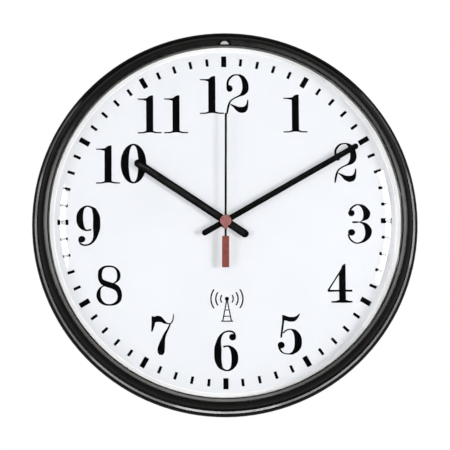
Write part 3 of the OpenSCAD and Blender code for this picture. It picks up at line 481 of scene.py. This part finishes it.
hangerFinish = {"dark": (0.46, 0.47, 0.49), "light": (0.62, 0.63, 0.66), "toneScale": 160.0,
                "rough": (0.28, 0.42), "stretch": (70.0, 1500.0, 2600.0), "lineDepth": 0.000015}
dress(brushedMaterial("hangerZinc", hangerFinish), "hanger_plate")

boardFinish = {"dark": (0.022, 0.13, 0.055), "light": (0.035, 0.18, 0.08), "track": (0.09, 0.33, 0.15),
               "trackScale": 330.0, "trackDepth": 0.00003}
dress(boardMaterial("boardGreen", boardFinish), "circuit_board")

chipFinish = {"dark": (0.010, 0.010, 0.011), "light": (0.018, 0.018, 0.019), "toneScale": 400.0,
              "rough": (0.12, 0.24), "grainScale": 900.0, "grainDepth": 0.00002}
dress(plasticMaterial("chipEpoxy", chipFinish), "control_chip")

canFinish = {"dark": (0.62, 0.62, 0.63), "light": (0.76, 0.76, 0.78), "toneScale": 500.0,
             "rough": (0.18, 0.3), "stretch": (2400.0, 600.0, 500.0)}
dress(brushedMaterial("crystalCan", canFinish), "quartz_crystals", "slide_switch")

switchFinish = {"dark": (0.016, 0.016, 0.017), "light": (0.028, 0.028, 0.03), "toneScale": 500.0,
                "rough": (0.3, 0.42), "grainScale": 3000.0, "grainDepth": 0.00001}
dress(plasticMaterial("switchBlack", switchFinish), "tact_switches")

buttonFinish = {"dark": (0.34, 0.34, 0.35), "light": (0.42, 0.42, 0.43), "toneScale": 300.0,
                "rough": (0.34, 0.46), "grainScale": 2600.0, "grainDepth": 0.000012}
dress(plasticMaterial("buttonGrey", buttonFinish), "time_set_button", "receive_button",
      "pacific_zone_button", "mountain_zone_button", "central_zone_button", "eastern_zone_button",
      "daylight_saving_knob")

resetFinish = {"dark": (0.36, 0.028, 0.022), "light": (0.46, 0.045, 0.035), "toneScale": 300.0,
               "rough": (0.32, 0.44), "grainScale": 2600.0, "grainDepth": 0.000012}
dress(plasticMaterial("buttonRed", resetFinish), "reset_button")

ferriteFinish = {"dark": (0.030, 0.030, 0.032), "light": (0.055, 0.054, 0.056), "toneScale": 420.0,
                 "rough": (0.45, 0.6), "grainScale": 2200.0, "grainDepth": 0.00003, "dust": 0.1}
dress(plasticMaterial("ferriteGrey", ferriteFinish), "antenna_rod")

rotorFinish = {"dark": (0.06, 0.06, 0.064), "light": (0.11, 0.11, 0.115), "toneScale": 600.0,
               "rough": (0.35, 0.5), "grainScale": 3000.0, "grainDepth": 0.00001}
dress(plasticMaterial("rotorMagnet", rotorFinish), "seconds_rotor", "minute_rotor")

# The wire's darkest colour is painted shade, laid in the creases between the turns
antennaWire = {"dark": (0.50, 0.19, 0.07), "light": (0.68, 0.30, 0.12), "gap": (0.10, 0.03, 0.012),
               "along": (1.0, 0.0, 0.0), "pitch": 0.0004}
dress(woundMaterial("antennaCopper", antennaWire), "antenna_coil")

# The wire's darkest colour is painted shade, laid in the creases between the turns
motorWire = {"dark": (0.46, 0.16, 0.06), "light": (0.64, 0.27, 0.10), "gap": (0.09, 0.026, 0.01),
             "along": (0.0, 0.0, 1.0), "pitch": 0.00028}
dress(woundMaterial("motorCopper", motorWire), "seconds_coil", "minute_coil")

statorFinish = {"dark": (0.42, 0.42, 0.44), "light": (0.56, 0.56, 0.58), "toneScale": 300.0,
                "rough": (0.32, 0.46), "stretch": (120.0, 900.0, 2200.0)}
dress(brushedMaterial("statorIron", statorFinish), "seconds_stator", "minute_stator")

contactFinish = {"dark": (0.64, 0.63, 0.60), "light": (0.78, 0.77, 0.74), "toneScale": 400.0,
                 "rough": (0.2, 0.32), "stretch": (900.0, 120.0, 2200.0)}
dress(brushedMaterial("contactNickel", contactFinish), "positive_contact", "negative_contact")

cellFinish = {"dark": (0.020, 0.10, 0.045), "light": (0.030, 0.135, 0.06), "bandColour": (0.62, 0.60, 0.55),
              "steel": (0.62, 0.62, 0.63), "middle": 0.0, "jacket": 0.0238, "band": 0.0125}
dress(batteryMaterial("batteryJacket", cellFinish), "battery")

inkFinish = {"dark": (0.0010, 0.0010, 0.0012), "light": (0.0024, 0.0024, 0.0027), "toneScale": 700.0,
             "rough": (0.2, 0.26), "grainScale": 5000.0, "grainDepth": 0.000002, "specular": 0.09}
inkBlack = plasticMaterial("inkBlack", inkFinish)
print("materials made:", len(bpy.data.materials))


# Meshes


def toFrame(x, y, z):
    # Dial millimetres to frame metres: x right, y to 12 o'clock, z out of the dial
    return np.stack([axisX + x * mm, faceY - z * mm, axisZ + y * mm], -1)


def ribbonFaces(rows, corners, closed):
    # Quads between each row of corners and the next, round the whole cross-section
    first = np.arange(rows if closed else rows - 1)[:, None]
    corner = np.arange(corners)[None, :]
    after, beside = (first + 1) % rows, (corner + 1) % corners
    quads = np.stack([first * corners + corner, first * corners + beside,
                      after * corners + beside, after * corners + corner], -1)
    return quads.reshape(-1, 4)


def makePiece(name, parts, material, body):
    sizes = np.cumsum([0] + [len(part[0]) for part in parts])
    points = np.concatenate([part[0] for part in parts])
    faces = np.concatenate([part[1] + start for part, start in zip(parts, sizes)])
    mesh = bpy.data.meshes.new(name)
    mesh.from_pydata(points.tolist(), [], faces.tolist())
    shape = bmesh.new()
    shape.from_mesh(mesh)
    bmesh.ops.remove_doubles(shape, verts=shape.verts, dist=2e-7)
    bmesh.ops.recalc_face_normals(shape, faces=shape.faces)
    shape.to_mesh(mesh)
    shape.free()
    mesh.materials.append(material)
    piece = bpy.data.objects.new(name, mesh)
    bpy.context.collection.objects.link(piece)
    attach(piece, body)


ink = {"thickness": 0.05, "sunk": 0.01, "step": 0.003}


def inkSlab(edges, order=0, closed=False):
    # A cross-section of four corners, two in the dial and two above it, carried along a stroke's
    # two edges. Later strokes stand a hair prouder, so that none lies in another's plane
    a, b = edges[:, :2], edges[:, 2:]
    top = ink["thickness"] + order * ink["step"]
    low = -ink["sunk"] - order * ink["step"] / 3
    corners = ((a, low), (a, top), (b, top), (b, low))
    rows = [toFrame(p[:, 0], p[:, 1], np.full(len(p), z)) for p, z in corners]
    points = np.stack(rows, 1).reshape(-1, 3)
    faces = ribbonFaces(len(edges), 4, closed)
    if not closed:
        last = 4 * (len(edges) - 1)
        caps = np.array([[3, 2, 1, 0], [last, last + 1, last + 2, last + 3]])
        faces = np.concatenate([faces, caps])
    return points, faces


def smoothEdges(stations, steps=6):
    # Hermite curve through the stations. The slope at a station is its neighbours' slopes averaged
    # by distance, at most three times the smaller, and nothing at a turning point
    p = np.array(stations, float)
    middle = (p[:, :2] + p[:, 2:]) / 2
    h = np.linalg.norm(np.diff(middle, axis=0), axis=1)[:, None]
    d = np.diff(p, axis=0) / h
    m = np.concatenate([d[:1], d[1:], d[-1:]])
    mean = (h[1:] * d[:-1] + h[:-1] * d[1:]) / (h[1:] + h[:-1])
    most = 3 * np.minimum(np.abs(d[:-1]), np.abs(d[1:]))
    m[1:-1] = np.where(d[:-1] * d[1:] > 0, np.clip(mean, -most, most), 0)
    t = np.linspace(0, 1, steps, endpoint=False)[None, :, None]
    start, end = p[:-1, None], p[1:, None]
    leave, arrive = (m[:-1] * h)[:, None], (m[1:] * h)[:, None]
    q = (2 * t**3 - 3 * t**2 + 1) * start + (t**3 - 2 * t**2 + t) * leave \
        + (3 * t**2 - 2 * t**3) * end + (t**3 - t**2) * arrive
    return np.vstack([q.reshape(-1, 4), p[-1:]])


def discEdges(x, y, rx, ry, n=28):
    # Left and right half of an ellipse, from its lowest point to its highest
    a = np.linspace(-np.pi / 2, np.pi / 2, n)
    return np.stack([x - rx * np.cos(a), y + ry * np.sin(a), x + rx * np.cos(a), y + ry * np.sin(a)], -1)


def ovalRing(x, y, outer, inner, power, n=96):
    # Ellipse outside, superellipse inside: each coordinate is a power of the cosine or sine
    a = np.linspace(0, 2 * np.pi, n, endpoint=False)
    ray = np.stack([np.cos(a), np.sin(a)], -1)
    full = np.sign(ray) * np.abs(ray) ** (2 / power)
    return np.concatenate([ray * outer, full * inner], -1) + np.array([x, y, x, y])


# Numerals in a bold upright face with hairlines and ball ends. A stroke is a strip between two
# edges, given as stations of left x, left y, right x, right y, in units of the grid below
digitShapes = {
    "0": {"rings": [[12.8, 20, (12.8, 20), (4.7, 18.2), 2.3]]},
    "1": {"strokes": [
        [[8.5, 1.5, 15.6, 1.5], [8.5, 34, 15.6, 34], [9.5, 36, 15.6, 36], [11.9, 37.9, 15.6, 38.1],
         [13.9, 38.5, 15.6, 38.5]],
        [[0, 35.3, 0, 34.2], [5, 35.4, 5, 33.8], [8.5, 35.6, 8.5, 33], [10.8, 36.8, 10.8, 33]],
        [[0, 1.3, 0, 0], [6, 1.6, 6, 0.1], [8.5, 2.6, 8.5, 0.6], [12, 3, 12, 0.9],
         [15.8, 2.6, 15.8, 0.6], [18.2, 1.6, 18.2, 0.1], [24, 1.3, 24, 0]]]},
    "2": {"strokes": [
        [[0.2, 26.2, 2.6, 27.2], [0.4, 32.2, 2.5, 31.2], [3, 37.2, 4.5, 35.6], [7, 39.8, 7.8, 38.3],
         [12, 40.2, 11.5, 38.8], [17, 38.7, 14.3, 36.2], [21, 33.7, 15.7, 32.2],
         [22.6, 27.2, 16.2, 27.2], [21.6, 22.2, 15.6, 23.2], [18.5, 19.2, 14, 20],
         [13, 17.2, 10.5, 17.8], [8.5, 15.2, 7, 16], [4.8, 12.2, 3.4, 13.2], [3.6, 9.2, 1.6, 9.7],
         [2.6, 5.2, 0.5, 5.2], [1.4, 0, 0, 0]],
        [[4, 10.2, 4, 9.2], [8, 8.8, 7, 6.6], [12, 7.2, 10.8, 2.5], [16, 7, 15.5, 0.8],
         [19, 8.4, 20, 2.4], [20.4, 11.2, 22, 7.7], [20.9, 14.2, 22.1, 14.2]]],
        "balls": [[3.4, 25.6, 3.1, 3.4]]},
    "3": {"strokes": [
        [[1.6, 32, 3.9, 33.5], [3, 36, 5.3, 35.4], [6, 38.6, 7.4, 37.2], [10.5, 40.1, 11, 38.8],
         [16, 39.3, 13.4, 37.4], [20.5, 36, 15.5, 34], [23.3, 30.8, 16.2, 30], [21.3, 25.4, 15.8, 26],
         [17.5, 23.4, 14, 23.2], [14, 22.4, 12, 22.6]],
        [[5, 22.7, 5, 21], [8, 22.9, 8, 20.9], [11.5, 22.5, 11.5, 21.4], [14.5, 22.4, 14.5, 21.4]],
        [[14, 22.4, 13, 21.2], [19, 21, 16, 19], [22.8, 17.5, 17.3, 15.5], [24.6, 13, 17.8, 12],
         [23, 7, 17.3, 7.5], [19, 3, 15.5, 4.2], [14.5, 1, 12.6, 2.1], [9.5, 0.1, 9.5, 1.5],
         [5, 1.7, 6, 3], [1.5, 5.5, 3, 6.2], [0.2, 10, 2.2, 9.5]]],
        "balls": [[4.3, 31, 3.3, 3.2], [4.2, 11.7, 3.6, 3.3]]},
    "4": {"strokes": [
        [[11.4, 1, 18.1, 1], [11.4, 27, 18.1, 27], [11, 29.3, 18.1, 29.3], [13.2, 33.5, 18.1, 33.5],
         [16, 38.3, 18.1, 38.6], [17.2, 38.9, 18.1, 39]],
        [[10.6, 29.6, 12, 28.8], [5.4, 21.4, 6.8, 20.8], [0, 13.2, 1.8, 13]],
        [[0, 13.2, 0, 11.1], [12, 13.1, 12, 11.2], [24.6, 13.2, 24.6, 11.1]],
        [[3.6, 1.9, 3.6, 0.4], [8.6, 2.2, 8.6, 0.2], [11.2, 3, 11.2, 0.2], [18.3, 3, 18.3, 0.2],
         [21, 2.2, 21, 0.2], [24.6, 1.9, 24.6, 0.4]]]},
    "5": {"strokes": [
        [[5, 39.8, 5.6, 34.2], [8.4, 38.7, 8.4, 33.8], [12.4, 37.5, 12.4, 32.7],
         [16.4, 37.6, 16.4, 32.8], [19.5, 38.8, 20, 35.6], [22, 41, 22.5, 40]],
        [[4.8, 39.6, 7.4, 38.5], [4.6, 32.4, 6.7, 32.4], [3.6, 24.4, 5.6, 24.4],
         [2.6, 17.1, 4.4, 16.8]],
        [[5.2, 22, 6.2, 21], [8.4, 24.8, 9.4, 23.8], [12.4, 25.8, 12.6, 24.7], [17.4, 25, 15, 22.8],
         [21.9, 20.9, 16.5, 18.4], [24.2, 13.4, 16.9, 12.4], [22.9, 6.4, 16.2, 6.9],
         [18.4, 1.9, 13.9, 2.7], [13.4, 0.1, 10.9, 1.5], [8.4, 0.4, 8, 1.6], [3.4, 2.4, 4.6, 3.6],
         [1, 5.9, 3.2, 6.2], [0.2, 9.9, 3.2, 9.9]]],
        "balls": [[3.6, 9.6, 3.5, 3.3]]},
    "6": {"strokes": [
        [[22.5, 34.8, 20.8, 35.8], [20.7, 38.8, 19.4, 37.6], [15.7, 40.6, 15.4, 38.9],
         [10.7, 39.6, 11.5, 38], [5.7, 35.6, 8, 33.8], [2, 28.3, 7.4, 27.8], [0.4, 20.8, 7.8, 20.8],
         [0.5, 13.8, 7.6, 13.8], [2.2, 7.3, 8.1, 7.8], [5.7, 2.5, 9.4, 3.3], [11.2, 0.2, 12.4, 1.6]],
        [[9.2, 25.2, 9.7, 23.3], [14.2, 25.8, 13.7, 24.2], [19.2, 24, 16.2, 21.3],
         [23, 19.8, 17.2, 16.8], [24.3, 13.3, 17.5, 12.8], [23, 6.8, 17.2, 7.3], [19.2, 2.2, 16, 3.2],
         [14.2, 0.1, 13.2, 1.5], [11.2, 0.2, 12.2, 1.6]]],
        "balls": [[18.8, 33.8, 3.5, 3.3]]},
    "7": {"strokes": [
        [[0.9, 38.6, 2.9, 38.6], [0.9, 32.6, 4.6, 32.6], [0.6, 26.6, 3.1, 26.6],
         [0.5, 23.3, 1.9, 23.3]],
        [[1.1, 34.6, 1.8, 30.6], [3.8, 38, 4.3, 32], [7.3, 38.9, 7.3, 32.7], [10.8, 37.8, 10.3, 32.6],
         [13.8, 34.6, 12.9, 31.2], [16.8, 31.8, 15.8, 30.6], [19.3, 31.6, 19.3, 30.3],
         [21.1, 34.1, 22.1, 32.8], [22, 38.1, 23.1, 37.6], [22.5, 40.8, 23.2, 40.8]],
        [[18.6, 30.6, 19.9, 30.1], [16.3, 26.1, 18.2, 25.6], [13.3, 21.6, 15.8, 20.6],
         [10.8, 16.6, 14.5, 16.1], [8.1, 10.6, 14.3, 10.1], [6.7, 5.6, 14, 5.1],
         [7.2, 2.1, 13.5, 2.1], [8.8, 0, 12.1, 0]]]},
    "8": {"strokes": [
        [[1.4, 30.9, 5.5, 30.4], [2.6, 36.1, 6.5, 35.3], [6.8, 39.3, 8.8, 37.7],
         [12.3, 40.2, 12.3, 38.4], [17.8, 39.2, 16.8, 37.7], [22.3, 35.6, 19.7, 34.6],
         [24.1, 30.4, 20.5, 30.4], [23.1, 25.9, 19.9, 25.7], [20.3, 23.1, 17.6, 23.3],
         [17, 21.6, 15, 22.4]],
        [[1.4, 30.9, 5.5, 30.4], [2, 25.9, 6.7, 26.5], [4.3, 21.9, 9.8, 24.9],
         [8.3, 19.3, 14.3, 23.4], [13.8, 17.5, 19.3, 21.6], [17.9, 15.7, 22.8, 18.9],
         [20.3, 12.9, 25, 14.4], [21.1, 8.9, 25.6, 9.4]],
        [[25.6, 9.9, 21.1, 9.4], [24.3, 4.9, 20.1, 5.4], [20.3, 1.3, 17.3, 2.9], [13.3, 0, 13.3, 1.8],
         [6.8, 1, 8.8, 2.8], [2.3, 4.4, 5.8, 5.9], [0.1, 9.9, 4.3, 10.4], [1.1, 15.1, 4.3, 14.9],
         [3.8, 18.7, 5.6, 17.9], [7, 20.3, 7.8, 19.4]]]},
}

# A numeral's centre on the dial in millimetres, where each digit starts in grid units, and the corner
# that the turned six takes for its origin
numeralLayout = {
    "unit": 0.833, "sixEnd": (24.4, 40.6),
    "places": {"12": (-0.3, 106.9), "1": (58.9, 90.2), "2": (100.2, 48.5), "3": (111.4, -2.7),
               "4": (94.4, -52.0), "5": (52.4, -93.7), "6": (-0.2, -107.2), "7": (-52.6, -93.4),
               "8": (-96.5, -52.8), "9": (-113.8, -3.0), "10": (-86.5, 48.7), "11": (-51.7, 90.0)},
    "starts": {"12": (0, 26.5), "10": (0, 24.6), "11": (0, 26.4)}}


def digitEdges(digit):
    # Every stroke of a digit as edge arrays; a nine is a six turned half round
    shape = digitShapes["6" if digit == "9" else digit]
    edges = [(smoothEdges(s), False) for s in shape.get("strokes", [])]
    edges += [(discEdges(*b), False) for b in shape.get("balls", [])]
    edges += [(ovalRing(*r), True) for r in shape.get("rings", [])]
    if digit == "9":
        edges = [(np.tile(numeralLayout["sixEnd"], 2) - e, closed) for e, closed in edges]
    return edges


def numeralPiece(label):
    starts = numeralLayout["starts"].get(label, (0,))
    strokes = [(e + np.array([dx, 0, dx, 0]), closed) for digit, dx in zip(label, starts)
               for e, closed in digitEdges(digit)]
    every = np.concatenate([e.reshape(-1, 2) for e, closed in strokes])
    middle = (every.min(0) + every.max(0)) / 2
    place = np.array(numeralLayout["places"][label])
    shift, unit = np.tile(middle, 2), numeralLayout["unit"]
    parts = [inkSlab((e - shift) * unit + np.tile(place, 2), order, closed)
             for order, (e, closed) in enumerate(strokes)]
    makePiece("numeral_" + label, parts, inkBlack, "case")


for label in numeralLayout["places"]:
    numeralPiece(label)
print("numerals printed:", len(numeralLayout["places"]))

# Minute ticks, with a heavier bar at each hour
trackMarks = {"minute": {"width": 2.4, "inner": 130.9, "outer": 137.1},
              "hour": {"width": 4.3, "inner": 129.7, "outer": 138.8},
              "offCentre": (-0.6, -0.1)}


def markSlabs(mark, degrees):
    # A bar of constant width along each radius: all corners of all bars in one array
    a = np.radians(degrees)
    out, side = np.stack([np.sin(a), np.cos(a)], -1), np.stack([np.cos(a), -np.sin(a)], -1)
    slabs = []
    half = mark["width"] / 2
    left = np.stack([out * mark["inner"] - side * half, out * mark["outer"] - side * half], 1)
    right = np.stack([out * mark["inner"] + side * half, out * mark["outer"] + side * half], 1)
    for edges in np.concatenate([left, right], 2):
        slabs.append(inkSlab(edges + np.tile(trackMarks["offCentre"], 2)))
    return slabs


minuteDegrees = np.array([6.0 * i for i in range(60) if i % 5])
hourDegrees = np.arange(12) * 30.0
makePiece("minute_ticks", markSlabs(trackMarks["minute"], minuteDegrees), inkBlack, "case")
makePiece("hour_bars", markSlabs(trackMarks["hour"], hourDegrees), inkBlack, "case")
print("minute track printed")

# A plain radio mast sign below the centre
mastSign = {"centre": (0.7, -69.3), "mastTop": 5.0, "mastFoot": -13.5, "footHalf": 3.6, "barWidth": 1.0,
            "rungs": (0.22, 0.5), "rungWidth": 0.8, "baseSpread": 1.4, "ball": 1.7,
            "arcs": (5.2, 9.2, 13.2), "arcWidth": 1.15, "arcHalfAngle": 36.0}


def arcEdges(centre, radius, width, middle, half, n=24):
    # Two arcs about one centre, half a width inside and outside the radius
    a = np.radians(np.linspace(middle - half, middle + half, n))
    ray = np.stack([np.cos(a), np.sin(a)], -1)
    inner, outer = radius - width / 2, radius + width / 2
    return np.concatenate([ray * outer, ray * inner], -1) + np.tile(centre, 2)


def barEdges(p, q, width):
    # A straight bar of constant width from p to q
    p, q = np.array(p, float), np.array(q, float)
    side = np.array([-(q - p)[1], (q - p)[0]]) / np.linalg.norm(q - p) * width / 2
    return np.array([[*(p + side), *(p - side)], [*(q + side), *(q - side)]])


def mastPiece(sign):
    x, y = sign["centre"]
    top, foot = (x, y + sign["mastTop"]), y + sign["mastFoot"]
    half, width = sign["footHalf"], sign["barWidth"]
    edges = [barEdges((x - half, foot), top, width), barEdges((x + half, foot), top, width)]
    for share in sign["rungs"]:
        level, reach = foot + (top[1] - foot) * share, half * (1 - share)
        edges.append(barEdges((x - reach, level), (x + reach, level), sign["rungWidth"]))
    reach = half + sign["baseSpread"]
    edges.append(barEdges((x - reach, foot), (x + reach, foot), width))
    edges.append(discEdges(top[0], top[1], sign["ball"], sign["ball"]))
    edges += [arcEdges(top, r, sign["arcWidth"], middle, sign["arcHalfAngle"])
              for r in sign["arcs"] for middle in (0, 180)]
    parts = [inkSlab(e, order) for order, e in enumerate(edges)]
    makePiece("radio_sign", parts, inkBlack, "case")


mastPiece(mastSign)
print("radio sign printed")


# Studio: lamps for the matt surfaces, cards for the gloss, a pale floor far below, a white surround

studio = {"floorLevel": -0.85, "floorHalf": 3.0, "floorSteps": 8, "floorFade": 1.0, "floorGlow": 0.58,
          "floor": {"dark": (0.38, 0.38, 0.38), "light": (0.42, 0.42, 0.42), "toneScale": 3.0,
                    "rough": (0.8, 0.9)},
          "fill": 0.155, "frontGlow": 0.004, "backGlow": 0.08, "rearGlow": 0.4,
          "besideRange": (-0.15, 0.35), "rearRange": (0.92, 0.98)}

# A lamp: its turn to the right and its rise in degrees, its distance, its size and its power. It
# lights the matt surfaces only
lamps = {"lampLeft": (-48, -2, 2.6, 0.75, 13.7), "lampRight": (48, -2, 2.6, 0.75, 37.0),
         "lampFront": (-1, -5.5, 2.6, 0.5, 33.2), "lampBackLeft": (-150, 15, 2.6, 0.9, 60.0),
         "lampBackRight": (150, 15, 2.6, 0.9, 60.0)}

# Reflector cards show in gloss only, each group in one slope round the dial: the slope's radius in
# millimetres and how far it tilts outwards, the cards' width and height, then each card's turn from 12
# o'clock and its power. Bead and bevel are the rim's. The steps are the lens's at 3 and 9 o'clock, the
# left one placed off the slope's middle so that the ticks' inner ends stay. The veils whiten the border
# that the rim shades
cards = {
    "bead": {"radius": 157.5, "tilt": 23.8, "width": 0.39, "height": 0.05, "places": (
        (60, 0.18), (90, 0.95), (120, 0.5), (150, 0.62), (180, 1.45), (210, 0.62), (240, 0.42), (270, 0.6),
        (295, 0.22))},
    "stepRight": {"radius": 134.3, "tilt": 19.2, "width": 0.4, "height": 0.08, "places": ((93, 1.35),)},
    "stepLeft": {"radius": 154.0, "tilt": 19.2, "width": 0.37, "height": 0.08, "places": ((265, 1.1),)},
    "bevel": {"radius": 148.0, "tilt": -26.7, "width": 0.3, "height": 0.12, "places": (
        (40, 0.3), (92, 0.75), (140, 0.4), (180, 0.9), (220, 0.55), (268, 0.85))},
    "veilNarrow": {"radius": 141.3, "tilt": 0.0, "width": 0.0735, "height": 0.0055, "places": (
        (48, 0.0011), (71, 0.0022), (94, 0.0026), (117, 0.0016))},
    "veilWide": {"radius": 139.3, "tilt": 0.0, "width": 0.0725, "height": 0.0105, "places": (
        (48, 0.0021), (71, 0.0042), (94, 0.0048), (117, 0.003))}}
cardDepth = 0.45


def areaLamp(name, offset, side, width, height, power):
    # A rectangle at an offset from the dial's centre, turned towards it, its width along side
    data = bpy.data.lights.new(name, "AREA")
    data.shape = "RECTANGLE"
    data.size, data.size_y = width, height
    data.energy = power
    lamp = bpy.data.objects.new(name, data)
    lamp.location = dialCentre + offset
    back = offset.normalized()
    up = back.cross(side).normalized()
    lamp.rotation_euler = Matrix((up.cross(back), up, back)).transposed().to_euler()
    lamp.visible_camera = False
    bpy.context.collection.objects.link(lamp)
    return lamp


def mirrorSpot(radius, tilt, turn):
    # Where a card stands in front of the dial so that a slope round it mirrors the card to the camera:
    # the sight line is reflected at the slope and followed up to the cards' depth
    lean, a = math.radians(tilt), math.radians(turn)
    start = Vector((math.sin(a), 0, math.cos(a)))
    normal = start * math.sin(lean) - Vector((0, math.cos(lean), 0))
    start *= radius * mm
    sight = (photoCamera.location - dialCentre - start).normalized()
    away = 2 * normal.dot(sight) * normal - sight
    return start - away * (cardDepth / away.y)


for name, (turn, rise, distance, size, power) in lamps.items():
    a = math.radians(turn)
    away = direction(turn, rise) * distance
    areaLamp(name, away, Vector((math.cos(a), math.sin(a), 0)), size, size, power).visible_glossy = False
for name, card in cards.items():
    for turn, power in card["places"]:
        side = Vector((math.cos(math.radians(turn)), 0, -math.sin(math.radians(turn))))
        spot = mirrorSpot(card["radius"], card["tilt"], turn)
        areaLamp(name + str(turn), spot, side, card["width"], card["height"], power).visible_diffuse = False


def buildFloor():
    # A flat grid that fades out towards its rim
    half, level, steps = studio["floorHalf"], studio["floorLevel"], studio["floorSteps"]
    u = np.linspace(-half, half, steps + 1)
    x, y = np.meshgrid(u, u, indexing="ij")
    points = np.stack([x, y, np.full_like(x, level)], -1).reshape(-1, 3)
    i, j = np.meshgrid(np.arange(steps), np.arange(steps), indexing="ij")
    first = i * (steps + 1) + j
    faces = np.stack([first, first + steps + 1, first + steps + 2, first + 1], -1).reshape(-1, 4)
    mesh = bpy.data.meshes.new("studioFloor")
    mesh.from_pydata(points.tolist(), [], faces.tolist())
    floor = bpy.data.objects.new("studioFloor", mesh)
    bpy.context.collection.objects.link(floor)
    material, tree, shader, place = startMaterial("floorPaper")
    addTone(tree, shader, place, studio["floor"])
    away = vectorCalc(tree, "LENGTH", place)["Value"]
    fade = ranged(tree, away, studio["floorFade"], half, 1.0, 0.0, interpolation_type="SMOOTHSTEP")
    seen = tree.nodes.new("ShaderNodeLightPath").outputs["Is Camera Ray"]
    setInputs(tree, shader, {
        "Alpha": fade, "Emission Color": (1, 1, 1, 1),
        "Emission Strength": calc(tree, "MULTIPLY", seen, studio["floorGlow"])})
    mesh.materials.append(material)
    floor.visible_glossy = False


def addBackground(tree, strength):
    values = {"Color": (1, 1, 1, 1), "Strength": strength}
    return addNode(tree, "ShaderNodeBackground", values).outputs[0]


def buildSurround():
    # White to the camera and through the lens, an even fill to matt surfaces. Gloss sees little before
    # the clock, more beside and behind it, which the rim's steep side mirrors, and most straight behind,
    # where only the back looks
    world = bpy.data.worlds.new("surround")
    bpy.context.scene.world = world
    world.use_nodes = True
    tree = world.node_tree
    tree.nodes.clear()
    path = tree.nodes.new("ShaderNodeLightPath").outputs
    seen = calc(tree, "MAXIMUM", path["Is Camera Ray"], path["Is Transmission Ray"])
    where = tree.nodes.new("ShaderNodeTexCoord").outputs["Generated"]
    back = addNode(tree, "ShaderNodeSeparateXYZ", {0: where}).outputs["Y"]
    beside = ranged(tree, back, *studio["besideRange"], studio["frontGlow"], studio["backGlow"])
    behind = ranged(tree, back, *studio["rearRange"], 0.0, studio["rearGlow"])
    gloss = addBackground(tree, calc(tree, "ADD", beside, behind))
    matt = addBackground(tree, studio["fill"])
    lit = addNode(tree, "ShaderNodeMixShader", {0: path["Is Glossy Ray"], 1: matt, 2: gloss})
    white = addBackground(tree, 1.0)
    mix = addNode(tree, "ShaderNodeMixShader", {0: seen, 1: lit.outputs[0], 2: white})
    addNode(tree, "ShaderNodeOutputWorld", {"Surface": mix.outputs[0]})


buildFloor()
buildSurround()
bpy.context.scene.view_settings.view_transform = "Standard"
print("studio built")
